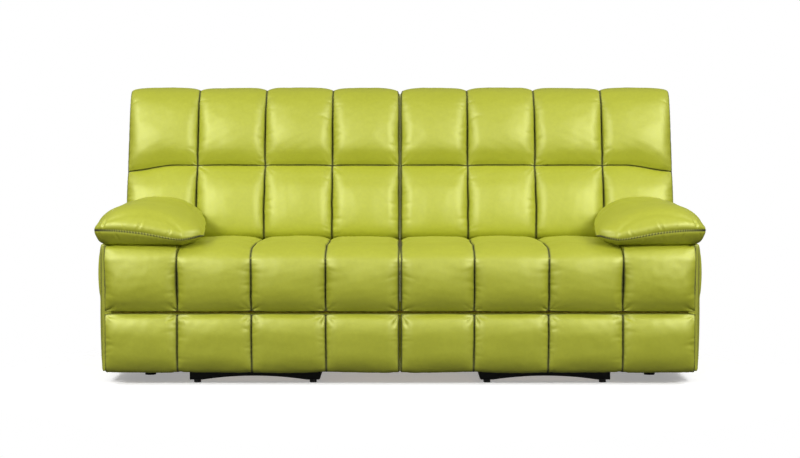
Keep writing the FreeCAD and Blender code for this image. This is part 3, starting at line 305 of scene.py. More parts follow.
def slab(stops, path, inner_path, seed, **form):
    """A row of cells and the hidden grid behind it."""
    patch = cell_patch(stops, path, seed, **form)
    inner = patch.points.copy()
    inner[:, :, 1:] = matched_inner(path, inner_path, len(inner))[:, None, :]
    return patch, inner


def straight(depth, heights):
    """A hidden inner path at one depth."""
    return [(depth, height) for height in heights]


def leaned_points(points):
    """Points of the back's own frame (x, depth, height along the back) in the sofa's frame."""
    out = points.copy()
    v, w = points[..., 1], points[..., 2]
    out[..., 1] = BACK_PIVOT[0] + v * math.cos(BACK_LEAN) + w * math.sin(BACK_LEAN)
    out[..., 2] = BACK_PIVOT[1] - v * math.sin(BACK_LEAN) + w * math.cos(BACK_LEAN)
    return out


# From grids to closed pieces

BOXING_BULGE = 3.85
SLOW_SWELLS = (1.2, 170.0)
FINE_SWELLS = (0.35, 46.0)
FINE_SEED = 7


def to_frame(points):
    """Metres in the frame, from the millimetres the shapes are written in."""
    out = points * MM
    out[..., 1] += FRONT_PLANE
    return out


def grid_faces(rows, cols, first=0, flip=False):
    r, c = np.meshgrid(np.arange(rows - 1), np.arange(cols - 1), indexing="ij")
    a = first + r * cols + c
    quads = np.stack([a, a + 1, a + cols + 1, a + cols], axis=-1).reshape(-1, 4)
    return quads[:, ::-1] if flip else quads


def wall_faces(before, after):
    """Faces between two rings of the same number of points."""
    return np.stack([before, after, np.roll(after, -1), np.roll(before, -1)], axis=-1)


def closed_mesh(patch, inner, rings=3):
    """Vertices and faces of a cushion: its outer grid, an inner grid and walls round the edges."""
    rows, cols, _ = patch.points.shape
    outer_count = rows * cols
    border = np.concatenate([
        np.arange(cols),
        np.arange(1, rows) * cols + cols - 1,
        (rows - 1) * cols + np.arange(cols - 2, -1, -1),
        np.arange(rows - 2, 0, -1) * cols,
    ])
    points = [patch.points.reshape(-1, 3)]
    faces = [grid_faces(rows, cols)]
    previous, start = border, outer_count
    for ring in range(1, rings + 1):
        share = ring / (rings + 1)
        layer = patch.points * (1 - share) + inner * share
        middle = layer[:, 0, 0] < HALF_GAP + 1
        layer[:, 0, 0] -= np.where(middle, BOXING_BULGE * math.sin(math.pi * share), 0)
        current = start + np.arange(len(border))
        points.append(layer.reshape(-1, 3)[border])
        faces.append(wall_faces(previous, current))
        previous, start = current, start + len(border)
    points.append(inner.reshape(-1, 3))
    faces.append(grid_faces(rows, cols, start, flip=True))
    faces.append(wall_faces(previous, start + border))
    vertices = np.concatenate(points)
    seam = np.zeros(len(vertices))
    seam[:outer_count] = patch.seam.reshape(-1)
    pinned = np.ones(len(vertices), bool)
    pinned[:outer_count] = patch.pinned.reshape(-1)
    pinned[border] = True
    return vertices, np.concatenate(faces), seam, pinned


def joined(parts):
    """Several closed meshes as one."""
    points, faces, seams, pins = [], [], [], []
    start = 0
    for vertices, quads, seam, pinned in parts:
        points.append(vertices)
        faces.append(quads + start)
        seams.append(seam)
        pins.append(pinned)
        start += len(vertices)
    return tuple(map(np.concatenate, (points, faces, seams, pins)))


def paint_seam(mesh, weights):
    """Store the seam weights and shade the mesh smoothly."""
    layer = mesh.attributes.new("seam", "FLOAT", "POINT")
    layer.data.foreach_set("value", weights.astype(np.float32))
    mesh.polygons.foreach_set("use_smooth", [True] * len(mesh.polygons))
    mesh.update()


def added(name, data):
    """A new object of the scene."""
    item = bpy.data.objects.new(name, data)
    scene.collection.objects.link(item)
    return item


def roughened(points, amount, scale, seed):
    """Points moved a little by smooth noise."""
    out = points.copy()
    for axis in range(3):
        out[:, axis] += amount * noise(points, scale, seed + axis)
    return out


def cushion(name, parts, seed, material):
    """A leather piece from closed meshes, uneven between its sewn lines."""
    points, faces, seam, pinned = joined(parts)
    free = ~pinned
    slow = roughened(points, *SLOW_SWELLS, seed)
    fine = roughened(points, *FINE_SWELLS, seed + FINE_SEED)
    points[free] = (slow + fine)[free] - points[free]
    mesh = bpy.data.meshes.new(name)
    mesh.from_pydata(to_frame(points).tolist(), [], faces.tolist())
    mesh.materials.append(material)
    paint_seam(mesh, seam)
    return added(name, mesh)


def coordinates(item):
    points = np.zeros(len(item.data.vertices) * 3, np.float32)
    item.data.vertices.foreach_get("co", points)
    return points.reshape(-1, 3).astype(float)


def mirrored(item, name):
    """The same piece on the other half."""
    mesh = item.data.copy()
    mesh.name = name
    points = coordinates(item)
    points[:, 0] *= -1
    mesh.vertices.foreach_set("co", points.ravel().astype(np.float32))
    mesh.flip_normals()
    mesh.update()
    return added(name, mesh)


# Materials

def grey(level):
    return (level, level, level)


def shader(name, colour, roughness, metallic=0.0):
    material = bpy.data.materials.new(name)
    material.use_nodes = True
    tree = material.node_tree
    base = tree.nodes["Principled BSDF"]
    base.inputs["Base Color"].default_value = (*colour, 1)
    base.inputs["Roughness"].default_value = roughness
    base.inputs["Metallic"].default_value = metallic
    place = tree.nodes.new("ShaderNodeTexCoord")
    return material, tree, base, place.outputs["Object"]


def feed(tree, socket, value):
    """Give a socket another socket's output, a colour or a number."""
    if isinstance(value, bpy.types.NodeSocket):
        tree.links.new(value, socket)
    elif isinstance(value, tuple):
        socket.default_value = (*value, 1)
    else:
        socket.default_value = value


def maths(tree, operation, *values):
    node = tree.nodes.new("ShaderNodeMath")
    node.operation = operation
    for socket, value in zip(node.inputs, values):
        feed(tree, socket, value)
    return node.outputs[0]


def mixed(tree, fac, a, b, kind="MIX", data="RGBA"):
    node = tree.nodes.new("ShaderNodeMix")
    node.data_type = data
    node.blend_type = kind
    for socket, value in (("Factor", fac), ("A", a), ("B", b)):
        feed(tree, node.inputs[socket], value)
    return node.outputs["Result"]


def noise_node(tree, place, scale, detail, rough=0.55):
    node = tree.nodes.new("ShaderNodeTexNoise")
    node.inputs["Scale"].default_value = scale
    node.inputs["Detail"].default_value = detail
    node.inputs["Roughness"].default_value = rough
    tree.links.new(place, node.inputs["Vector"])
    return node.outputs["Fac"]


def wave_node(tree, place, amounts):
    node = tree.nodes.new("ShaderNodeTexWave")
    for socket, amount in amounts.items():
        node.inputs[socket].default_value = amount
    tree.links.new(place, node.inputs["Vector"])
    return node.outputs["Fac"]


def eased(tree, value, amounts):
    """A value carried from one range to another with soft ends."""
    node = tree.nodes.new("ShaderNodeMapRange")
    node.interpolation_type = "SMOOTHSTEP"
    for socket, amount in amounts.items():
        node.inputs[socket].default_value = amount
    tree.links.new(value, node.inputs["Value"])
    return node.outputs["Result"]


def ramp(tree, value, stops):
    node = tree.nodes.new("ShaderNodeValToRGB")
    for element, (at, colour) in zip(node.color_ramp.elements, stops):
        element.position = at
        element.color = (*colour, 1)
    tree.links.new(value, node.inputs["Fac"])
    return node.outputs["Color"]


def bump(tree, height, strength, distance, normal=None):
    node = tree.nodes.new("ShaderNodeBump")
    node.inputs["Strength"].default_value = strength
    node.inputs["Distance"].default_value = distance
    tree.links.new(height, node.inputs["Height"])
    if normal is not None:
        tree.links.new(normal, node.inputs["Normal"])
    return node.outputs["Normal"]


LEATHER = (0.42, 0.445, 0.027)
LEATHER_DEEP = (0.365, 0.39, 0.012)
# Near-black painted shade for the sewn lines and the valleys beside them
SEAM_SHADE = (0.012, 0.013, 0.002)
LEATHER_ROUGHNESS = 0.4
LEATHER_METALLIC = 0.14
LEATHER_SPECULAR = 0.9
LEATHER_GLOSS = (0.08, 0.455)
TONE_NOISE = (3.2, 2.0)
TONE_RANGE = ((0.3, grey(0)), (0.7, grey(0.3)))
FINE_NOISE = (75, 3.0)
FINE_RANGE = ((0.35, grey(0.95)), (0.65, grey(1)))
SEAM_POWER = 1.6
SEAM_DULL = 0.5
GRAIN_SCALE = 620
GRAIN_BUMP = (0.10, 0.0006)
FOLD_SCALE = 18.0
FOLD_NOISE = (4.0, 0.5)
FOLD_BUMP = (0.07, 0.006)
PANEL_FOLDS = 0.7


def leather(name, folds=1.0):
    """Hide with slow tones, fine specks and a cell grain. Along the seam weights it is painted
    near-black and made duller; in the cushions' seam valleys this is painted shade.
    """
    material, tree, base, place = shader(name, LEATHER, LEATHER_ROUGHNESS, LEATHER_METALLIC)
    broad = noise_node(tree, place, *TONE_NOISE)
    fine = noise_node(tree, place, *FINE_NOISE)
    tone = mixed(tree, ramp(tree, broad, TONE_RANGE), LEATHER, LEATHER_DEEP)
    tone = mixed(tree, 1.0, tone, ramp(tree, fine, FINE_RANGE), "MULTIPLY")
    # Painted shade: the seam weights darken the hide towards near-black
    seam_shade_weight = tree.nodes.new("ShaderNodeAttribute")
    seam_shade_weight.attribute_name = "seam"
    line = maths(tree, "POWER", seam_shade_weight.outputs["Fac"], SEAM_POWER)
    tree.links.new(mixed(tree, line, tone, SEAM_SHADE), base.inputs["Base Color"])
    gloss = maths(tree, "MULTIPLY_ADD", fine, *LEATHER_GLOSS)
    dull = maths(tree, "MULTIPLY_ADD", line, SEAM_DULL, gloss)
    tree.links.new(dull, base.inputs["Roughness"])
    cells = tree.nodes.new("ShaderNodeTexVoronoi")
    cells.feature = "DISTANCE_TO_EDGE"
    cells.inputs["Scale"].default_value = GRAIN_SCALE
    tree.links.new(place, cells.inputs["Vector"])
    grain = bump(tree, cells.outputs["Distance"], *GRAIN_BUMP)
    slow = noise_node(tree, place, FOLD_SCALE * folds, *FOLD_NOISE)
    tree.links.new(bump(tree, slow, *FOLD_BUMP, grain), base.inputs["Normal"])
    base.inputs["Specular IOR Level"].default_value = LEATHER_SPECULAR
    return material


MARK_NOISE = (6.0, 0.65)
MARK_DARK = 0.62
MARK_GLOSS = 0.25
MARK_SHIFT = -0.1
MARK_HEIGHT = 0.0008


def metal(name, colour, roughness, metallic=1.0, scale=90.0, marked=0.12):
    """Metal, paint or plastic with faint marks in its tone, gloss and surface."""
    material, tree, base, place = shader(name, colour, roughness, metallic)
    marks = noise_node(tree, place, scale, *MARK_NOISE)
    dark = tuple(MARK_DARK * c for c in colour)
    tree.links.new(ramp(tree, marks, ((0.3, dark), (0.7, colour))), base.inputs["Base Color"])
    gloss = maths(tree, "MULTIPLY_ADD", marks, MARK_GLOSS, roughness + MARK_SHIFT)
    tree.links.new(gloss, base.inputs["Roughness"])
    tree.links.new(bump(tree, marks, marked, MARK_HEIGHT), base.inputs["Normal"])
    return material


PLY = (0.50, 0.33, 0.17)
PLY_ROUGHNESS = 0.62
PLY_WAVE = {"Scale": 9, "Distortion": 6, "Detail": 4, "Detail Scale": 2.5}
PLY_GRAIN = ((0.2, (0.36, 0.22, 0.10)), (0.8, (0.58, 0.40, 0.22)))
PLY_NOISE = (140, 5.0)
PLY_SPOTS = ((0.3, (0.3, 0.18, 0.08)), (0.7, (0.6, 0.42, 0.24)))
PLY_SPOT_SHARE = 0.25
PLY_BUMP = (0.15, 0.001)


def plywood():
    material, tree, base, place = shader("plywood", PLY, PLY_ROUGHNESS)
    wave = wave_node(tree, place, PLY_WAVE)
    spots = ramp(tree, noise_node(tree, place, *PLY_NOISE), PLY_SPOTS)
    tone = mixed(tree, PLY_SPOT_SHARE, ramp(tree, wave, PLY_GRAIN), spots)
    tree.links.new(tone, base.inputs["Base Color"])
    tree.links.new(bump(tree, wave, *PLY_BUMP), base.inputs["Normal"])
    return material


WEB = (0.62, 0.60, 0.54)
WEB_ROUGHNESS = 0.85
WEB_WAVE = {"Scale": 160, "Distortion": 0.6}
WEB_DARK = 0.5
WEB_BUMP = (0.4, 0.0006)


def woven():
    material, tree, base, place = shader("webbing", WEB, WEB_ROUGHNESS)
    wave = wave_node(tree, place, WEB_WAVE)
    dark = tuple(WEB_DARK * c for c in WEB)
    tree.links.new(ramp(tree, wave, ((0.25, dark), (0.75, WEB))), base.inputs["Base Color"])
    tree.links.new(bump(tree, wave, *WEB_BUMP), base.inputs["Normal"])
    return material


hide = leather("hide")
panel_hide = leather("panel_hide", PANEL_FOLDS)
black_steel = metal("black_steel", (0.022, 0.022, 0.024), 0.45, 0.6, 40, 0.17)
grey_steel = metal("grey_steel", (0.42, 0.43, 0.45), 0.38)
hinge_steel = metal("hinge_steel", (0.55, 0.55, 0.56), 0.32)
bolt_steel = metal("bolt_steel", (0.50, 0.50, 0.48), 0.35)
spring_steel = metal("spring_steel", (0.20, 0.20, 0.21), 0.42)
ply = plywood()
web = woven()
black_plastic = metal("black_plastic", (0.018, 0.018, 0.019), 0.42, 0.0, 300)
rubber = metal("black_rubber", (0.02, 0.02, 0.02), 0.65, 0.0, 400)

FINISH = {
    "base_frame": black_steel,
    "side_plates": grey_steel,
    "seat_frame": ply,
    "seat_springs": spring_steel,
    "hinge_fixed_leaves": hinge_steel,
    "hinge_moving_leaves": hinge_steel,
    "arm_frame": ply,
    "arm_bolts": bolt_steel,
    "handle_bezel": black_plastic,
    "release_handle": black_plastic,
    "release_cable": rubber,
    "footrest_board": ply,
    "footrest_brackets": grey_steel,
    "drive_arms": grey_steel,
    "push_arms": grey_steel,
    "kick_lever": grey_steel,
    "back_frame": ply,
    "back_webbing": web,
    "back_brackets": grey_steel,
    "cross_stretchers": ply,
    "floor_glides": black_plastic,
}
for name, node in nodes.items():
    stem = name.rsplit("_", 1)[0] if name.endswith(("_left", "_right")) else name
    if stem in FINISH:
        node.data.materials.clear()
        node.data.materials.append(FINISH[stem])


# How a piece joins the frame

def leather_piece(item, body, node):
    """A padded piece on one body, in place of its solid; a body of None is left to a blend."""
    if body:
        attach(item, body)
    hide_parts(node)


def both(name, parts, body, node, seed, material=hide):
    """The piece on the right half and its mirror image on the left half."""
    right = cushion(name + "_right", parts, seed, material)
    pair = (right, mirrored(right, name + "_left"))
    for item, (side, _) in zip(pair, SIDES):
        own_body = body if body == "sofa_frame" else f"{body}_{side}"
        leather_piece(item, own_body, f"{node}_{side}")


# Seat pads: seat top, nose and upper front row as one long slab

SEAT_PATH = [
    (606, 400, 609, 400), (604, 448, 608, 456), (588, 470, 590, 484), (540, 475, 540, 495),
    (420, 477, 420, 501), (250, 479, 250, 504), (120, 480, 112, 502), (70, 477, 64, 493),
    (42, 468, 34, 478), (24, 455, 14, 462), (14, 443, 3, 447), (14, 425, -5, 424),
    (20, 400, -10.5, 398), (25, 370, -13, 368), (28, 335, -12, 334), (30, 302, -4, 302),
    (31, 276, 12, 276), (31, 262, 27, 260),
]
SEAT_INNER = [
    (585, 400), (560, 340), (530, 326), (450, 325), (380, 325), (250, 325), (126, 325),
    (124, 450), (60, 452), (26, 452), (17, 449), (19, 436), (24, 412), (40, 380), (62, 340),
    (79, 304), (79, 276), (79, 260),
]
SEAT_NARROWING = 12
NARROW_ABOVE = (425, 35)
NARROW_BEHIND = (76, 24)


def seat_parts():
    """The outer column of the seat narrows behind the nose, where the arm stands beside it."""
    patch, inner = slab([HALF_GAP] + SEAMS, SEAT_PATH, SEAT_INNER, 1)
    high = smoothstep(share_of(patch.points[:, :, 2], *NARROW_ABOVE))
    for layer in (patch.points, inner):
        outward = share_of(layer[:, :, 0], SEAMS[1], SEAMS[2] - SEAMS[1])
        behind = share_of(layer[:, :, 1], *NARROW_BEHIND)
        layer[:, :, 0] -= SEAT_NARROWING * outward * high * behind
    return [closed_mesh(patch, inner)]


seat_right = cushion("seat_pad_right", seat_parts(), 11, hide)
seat_left = mirrored(seat_right, "seat_pad_left")
for item, (side, sign) in zip((seat_right, seat_left), SIDES):
    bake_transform(item)
    leather_piece(item, None, f"seat_cushion_{side}")


# Footrest pads: the outer column of the upper row, and the lower row

WING_PATH = [
    (74, 489, 74, 491), (50, 488, 44, 491), (34, 480, 24, 483), (24, 466, 10, 468),
    (18, 448, 0, 450), (18, 425, -6, 424), (22, 400, -10.5, 398), (26, 370, -13, 368),
    (29, 335, -12, 334), (30, 302, -4, 302), (31, 276, 12, 276), (31, 262, 27, 260),
]
WING_INNER = straight(79, (487, 485, 478, 466, 448, 425, 400, 370, 335, 302, 276, 262))
LOWER_PATH = [
    (29, 251, 27, 253), (28, 225, 8, 234), (27, 185, -3, 192), (26, 140, -1, 142),
    (27, 95, 7, 94), (30, 62, 25, 61), (46, 46, 44, 44), (76, 44, 76, 42),
]
LOWER_INNER = straight(79, (251, 240, 200, 160, 120, 80, 55, 46))

wing = closed_mesh(*slab([SEAMS[2] + SPLIT, FRONT_OUTER], WING_PATH, WING_INNER, 2))
both("wing_pad", [wing], "footrest", "footrest_upper_pad", 21)
lower = closed_mesh(*slab([HALF_GAP] + SEAMS + [FRONT_OUTER], LOWER_PATH, LOWER_INNER, 3))
both("lower_pad", [lower], "footrest", "footrest_lower_pad", 31)


# Back cushions, in the back's own frame: forward is negative

BACK_ROW_SEAM = [
    (-94, 325, -139, 315), (-92, 375, -124, 366), (-89, 402, -106, 400), (-86, 416, -90, 415.5),
]
LUMBAR_PATH = [
    (-46, 132, -48, 128), (-72, 135, -90, 127), (-88, 152, -118, 148), (-93, 200, -134, 195),
    (-94, 262, -141, 255),
] + BACK_ROW_SEAM
LUMBAR_INNER = straight(-41, (132, 136, 150, 200, 262, 325, 375, 402, 413))
SIDE_PATH = [
    (-60, -28, -60, -30), (-80, 20, -92, 20), (-90, 90, -122, 90), (-92, 170, -134, 170),
    (-94, 250, -141, 245),
] + BACK_ROW_SEAM
SIDE_INNER = straight(-41, (-28, 20, 90, 170, 250, 325, 375, 402, 413))
TAIL_PATH = [
    (-43, 4, -44, 4), (-44, 20, -48, 20), (-44, 60, -50, 60), (-44, 104, -50, 104),
    (-44, 134, -48, 134),
]
TAIL_INNER = straight(-40.5, (4, 20, 60, 104, 134))
TAIL_STOPS = [HALF_GAP + 1] + SEAMS[:2] + [766.0]
HEAD_PATH = [
    (-86, 417.5, -90, 418), (-88, 430, -108, 436), (-92, 465, -130, 474), (-93, 525, -140, 532),
    (-94, 590, -138, 598), (-92, 650, -124, 660), (-84, 695, -96, 706), (-64, 722, -62, 736),
    (-15, 736, -18, 753), (35, 737, 35, 753), (66, 728, 69, 738), (67, 700, 71, 700),
]
HEAD_INNER = straight(-41, (419, 430, 465, 525, 590, 650, 700)) + [
    (-40, 734), (-15, 735), (35, 735), (50, 735), (60, 735),
]
DROOP = 24
DROOP_FROM = 860
DROOP_ROW = 416
DROOP_SPREAD = 95
NOTCH = 8.5
NOTCH_ABOVE = (704, 44)
NOTCH_WIDE = 70
NOTCH_POWER = 1.5


def droop(layer):
    """The row seam sinks towards the outer side of the back."""
    share = share_of(layer[..., 0], DROOP_FROM, BACK_OUTER - DROOP_FROM)
    layer[..., 2] -= DROOP * smoothstep(share) * bell(layer[..., 2] - DROOP_ROW, DROOP_SPREAD)


def notch(layer):
    """The head's inner top corners fall away from the middle of the sofa."""
    high = share_of(layer[..., 2], *NOTCH_ABOVE)
    beside = np.clip(1 - (layer[..., 0] - HALF_GAP) / NOTCH_WIDE, 0, 1)
    layer[..., 0] += NOTCH * high ** NOTCH_POWER * beside


def back_part(stops, path, inner_path, seed):
    patch, inner = slab(stops, path, inner_path, seed)
    for layer in (patch.points, inner):
        droop(layer)
        notch(layer)
    patch.points = leaned_points(patch.points)
    return closed_mesh(patch, leaned_points(inner))


lumbar = [
    back_part([HALF_GAP] + SEAMS, LUMBAR_PATH, LUMBAR_INNER, 4),
    back_part(TAIL_STOPS, TAIL_PATH, TAIL_INNER, 9),
    back_part([SEAMS[2] + SPLIT, BACK_OUTER], SIDE_PATH, SIDE_INNER, 5),
]
both("lumbar", lumbar, "back", "lumbar_cushion", 41)
head = back_part([HALF_GAP] + SEAMS + [BACK_OUTER], HEAD_PATH, HEAD_INNER, 6)
both("head", [head], "back", "head_cushion", 51)


# Rear cover of the back, with its outer side, and the low rear panel

PANEL_FORM = {"step": 9.0, "roll": 30.0, "creased": 0.3}
REAR_PATH = [
    (72, 742, 74, 744), (82, 735, 86, 737), (84, 640, 91, 640), (84, 480, 93, 480),
    (84, 300, 93, 300), (84, 130, 92, 130), (82, -14, 87, -16), (73, -26, 74, -27),
]
REAR_INNER = straight(70.5, (742, 735, 640, 480, 300, 130, -14, -26))
REAR_STOPS = [HALF_GAP, 526, BACK_OUTER - 1]
SIDE_DEPTHS = np.linspace(-39, 69.5, 14)
SIDE_HEIGHTS = np.linspace(-29, 734, 70)
SIDE_OUTER = BACK_OUTER - 4
SIDE_HIDDEN = BACK_OUTER - 11.5
SIDE_BULGE = 5
SIDE_ARCH = (2.05, 1.6)
# Painted shade round the side panel's border, where it meets the pieces beside it
SIDE_SEAM = 0.8
BASE_STOPS = [-771.5, -260.0, 260.0, 771.5]
BASE_PATH = [
    (739, 229, 741, 229), (745, 222, 750, 222), (746, 140, 753, 140), (745, 54, 750, 54),
    (739, 46, 741, 46),
]
BASE_INNER = straight(736, (229, 222, 140, 54, 46))


def rear_side():
    """The flat outer side between the head's wing and the rear cover."""
    rows, cols = len(SIDE_DEPTHS), len(SIDE_HEIGHTS)
    up, along = (arch(np.abs(np.linspace(-1, 1, count)), *SIDE_ARCH) for count in (rows, cols))
    grid = np.zeros((rows, cols, 3))
    grid[:, :, 0] = SIDE_OUTER + SIDE_BULGE * up[:, None] * along[None, :]
    grid[:, :, 1] = SIDE_DEPTHS[:, None]
    grid[:, :, 2] = SIDE_HEIGHTS[None, :]
    hidden = grid.copy()
    hidden[:, :, 0] = SIDE_HIDDEN
    border = np.ones((rows, cols), bool)
    border[1:-1, 1:-1] = False
    return closed_mesh(Patch(leaned_points(grid), border * SIDE_SEAM, border),
                       leaned_points(hidden), 1)


patch, inner = slab(REAR_STOPS, REAR_PATH, REAR_INNER, 7, **PANEL_FORM)
patch.points = leaned_points(patch.points)
rear = [closed_mesh(patch, leaned_points(inner)), rear_side()]
both("rear_skin", rear, "back", "rear_cover", 61, panel_hide)
base = closed_mesh(*slab(BASE_STOPS, BASE_PATH, BASE_INNER, 8, **PANEL_FORM), 1)
base_panel = cushion("base_panel_skin", [base], 71, panel_hide)
leather_piece(base_panel, "sofa_frame", "rear_base_panel")


# Arm pads: a crowned top and a drawn-in underside, sewn together along a welt

PAD_INNER = 679.5
PAD_OUTER = 1073.5
PAD_TAPER = 0.095
PAD_FRONT = -4
PAD_REAR = 612.0
CORNER_SETBACK = 46
CORNER_POWER = 5
INNER_SETBACK = 10
PAD_RISE = 104.0
PAD_STEP = 3.6
PAD_ROWS = 150
PAD_BUNCHED = 0.75
PAD_FORWARD = 0.55
PAD_FORWARD_POWER = 1.6
PAD_SEED = 17
BACK_FACE = (515, 376)
BACK_CLEAR = 1.5
BACK_FIT_POWER = 3

# Heights of the welt, of the foot of the front band and of the fold over it, by x
WELT_FRONT = [
    (679, 522), (698, 524), (725, 518), (755, 513), (780, 514), (811, 519), (850, 527),
    (895, 536), (945, 542), (993, 546), (1040, 546), (1074, 545),
]
BAND_FOOT = [
    (679, 519), (700, 514), (728, 504), (760, 495), (784, 494.5), (900, 494.5), (1007, 494.5),
    (1074, 494.5),
]
TOP_FOLD = [
    (756, 532), (780, 560), (813, 583), (850, 598), (892, 604), (945, 601), (990, 590),
    (1030, 572),
]
WELT_SETTLE = 260
WELT_REAR = 530
WELT_REAR_RISE = 14
WELT_REAR_SPAN = (679, 394)

# Distance over which a skin bends in from the front, and how flat and steep its arches are
TOP_SIDES = (2.35, 1.95)
TOP_FRONT = 150
TOP_FRONT_ARCH = (2.3, 2.1)
TOP_LOWERED = 0.10
TOP_LOWERED_LONG = 500
UNDER_SIDES = (15, 1.7)
UNDER_FRONT = 52
UNDER_FRONT_ARCH = (2.0, 1.35)

# Gathers beside the welt: x, rise over the welt, length, depth, slant
PINCHES = [
    (1031, 22, 15, 3.4, -0.35), (905, 24, 15, 3.6, -0.45), (802, 22, 13, 3.4, -0.4),
    (958, 14, 9, 1.6, 0.3), (860, 12, 10, 1.8, 0.2), (760, 14, 10, 1.8, -0.2),
    (985, -20, 9, 2.4, 0.3), (915, -18, 10, 2.6, -0.3), (850, -14, 8, 1.6, 0.2),
    (1048, -18, 10, 1.8, 0.2),
]
PINCH_WIDE = 3.6
PINCH_LIP = 0.45
PINCH_LIP_AT = 8
PINCH_LIP_WIDE = 5.0
FRONT_FACING = 2.2
FOLD_DEEP = 3.0
FOLD_WIDE = 10
FOLD_DEPTHS = (130, 60)
BULGE_DEEP = 3.5
BULGE_RISE = 24
BULGE_WIDE = 15
PAD_SWELLS = (190, 19)
PAD_SWELL = 1.4
PAD_PUCKERS = 30
PAD_PUCKER_AT = (60, 560)
PAD_PUCKER_WIDE = (5, 8)
PAD_PUCKER_REACH = (10, 24)
PAD_PUCKER_DEEP = (0.6, 2.0)
PAD_PUCKER_FROM = (40, 40)
# Strength and width of the painted shade along the welt groove
PAD_SEAM = (1.6, 4.5)
GROOVE_DEEP = 3.0
GROOVE_WIDE = 7.0
SLICE = 4000


def height_at(x, line):
    return np.interp(x, *zip(*line))


def pad_edge(depth):
    """Where the pad's inner side runs at a depth."""
    return PAD_INNER + PAD_TAPER * np.clip(depth, 0, None)


def arm_grid(across, along, upper):
    """One skin of the arm pad over its welt loop: the crowned top or the drawn-in underside."""
    u, v = np.meshgrid(across, along)
    edge = np.abs(u)
    front = PAD_FRONT + CORNER_SETBACK * edge ** CORNER_POWER
    front += INNER_SETBACK * np.clip(-u, 0, 1) ** 2
    depth = front + (PAD_REAR - front) * v
    inner_edge = pad_edge(depth)
    x = inner_edge + (PAD_OUTER - inner_edge) * (u + 1) / 2
    gap = depth - front
    settle = share_of(gap, 0, WELT_SETTLE)
    rear_from, rear_span = WELT_REAR_SPAN
    rear_welt = WELT_REAR + WELT_REAR_RISE * (x - rear_from) / rear_span
    welt = height_at(x, WELT_FRONT) * (1 - settle) + rear_welt * settle
    if upper:
        roll = arch(1 - gap / TOP_FRONT, *TOP_FRONT_ARCH)
        lowered = 1 - TOP_LOWERED * np.clip(1 - gap / TOP_LOWERED_LONG, 0, 1) ** 2
        z = welt + PAD_RISE * arch(edge, *TOP_SIDES) * roll * lowered
    else:
        roll = arch(1 - gap / UNDER_FRONT, *UNDER_FRONT_ARCH)
        z = welt + (height_at(x, BAND_FOOT) - welt) * arch(edge, *UNDER_SIDES) * roll
    return np.stack([x, depth, z], axis=-1)


def grid_normals(grid):
    return unit(np.cross(np.gradient(grid, axis=1), np.gradient(grid, axis=0)), 1e-9)


def gather(layer, normals, upper, rng):
    """Pinches, folds, swells and puckers of one skin, which leave its border as it is."""
    x, d, z = layer[..., 0], layer[..., 1], layer[..., 2]
    welt = height_at(x, WELT_FRONT)
    facing = np.clip(-normals[..., 1] * FRONT_FACING, 0, 1)
    push = np.zeros(x.shape)
    for px, rise, long, deep, slant in PINCHES:
        if (rise > 0) != upper:
            continue
        up = z - welt - rise
        side = x - px - slant * up
        lips = PINCH_LIP * bell(np.abs(side) - PINCH_LIP_AT, PINCH_LIP_WIDE)
        push += deep * (lips - bell(side, PINCH_WIDE)) * bell(up, long) * facing
    if upper:
        fold_end, fold_fade = FOLD_DEPTHS
        ahead = np.clip((fold_end - d) / fold_fade, 0, 1)
        push -= FOLD_DEEP * bell(z - height_at(x, TOP_FOLD), FOLD_WIDE) * ahead
        push += BULGE_DEEP * bell(z - welt - BULGE_RISE, BULGE_WIDE) * facing
    push += PAD_SWELL * noise(layer.reshape(-1, 3), *PAD_SWELLS).reshape(x.shape)
    border = np.maximum(np.minimum(x - pad_edge(d), PAD_OUTER - x), 0)
    pucker = np.zeros(x.shape)
    for _ in range(PAD_PUCKERS):
        at = rng.uniform(*PAD_PUCKER_AT)
        wide = rng.uniform(*PAD_PUCKER_WIDE)
        reach = rng.uniform(*PAD_PUCKER_REACH)
        pucker += rng.uniform(*PAD_PUCKER_DEEP) * bell(d - at, wide) * bell(border, reach)
    push -= pucker * share_of(d, *PAD_PUCKER_FROM)
    layer[1:-1, 1:-1] += (normals * push[..., None])[1:-1, 1:-1]


def rim_gap(grid, rim):
    """Distance of each point from the welt line, worked out in slices to spare memory."""
    flat = grid.reshape(-1, 3)
    gaps = [
        np.linalg.norm(flat[start:start + SLICE, None, :] - rim[None, :, :], axis=2).min(1)
        for start in range(0, len(flat), SLICE)
    ]
    return np.concatenate(gaps).reshape(grid.shape[:2])


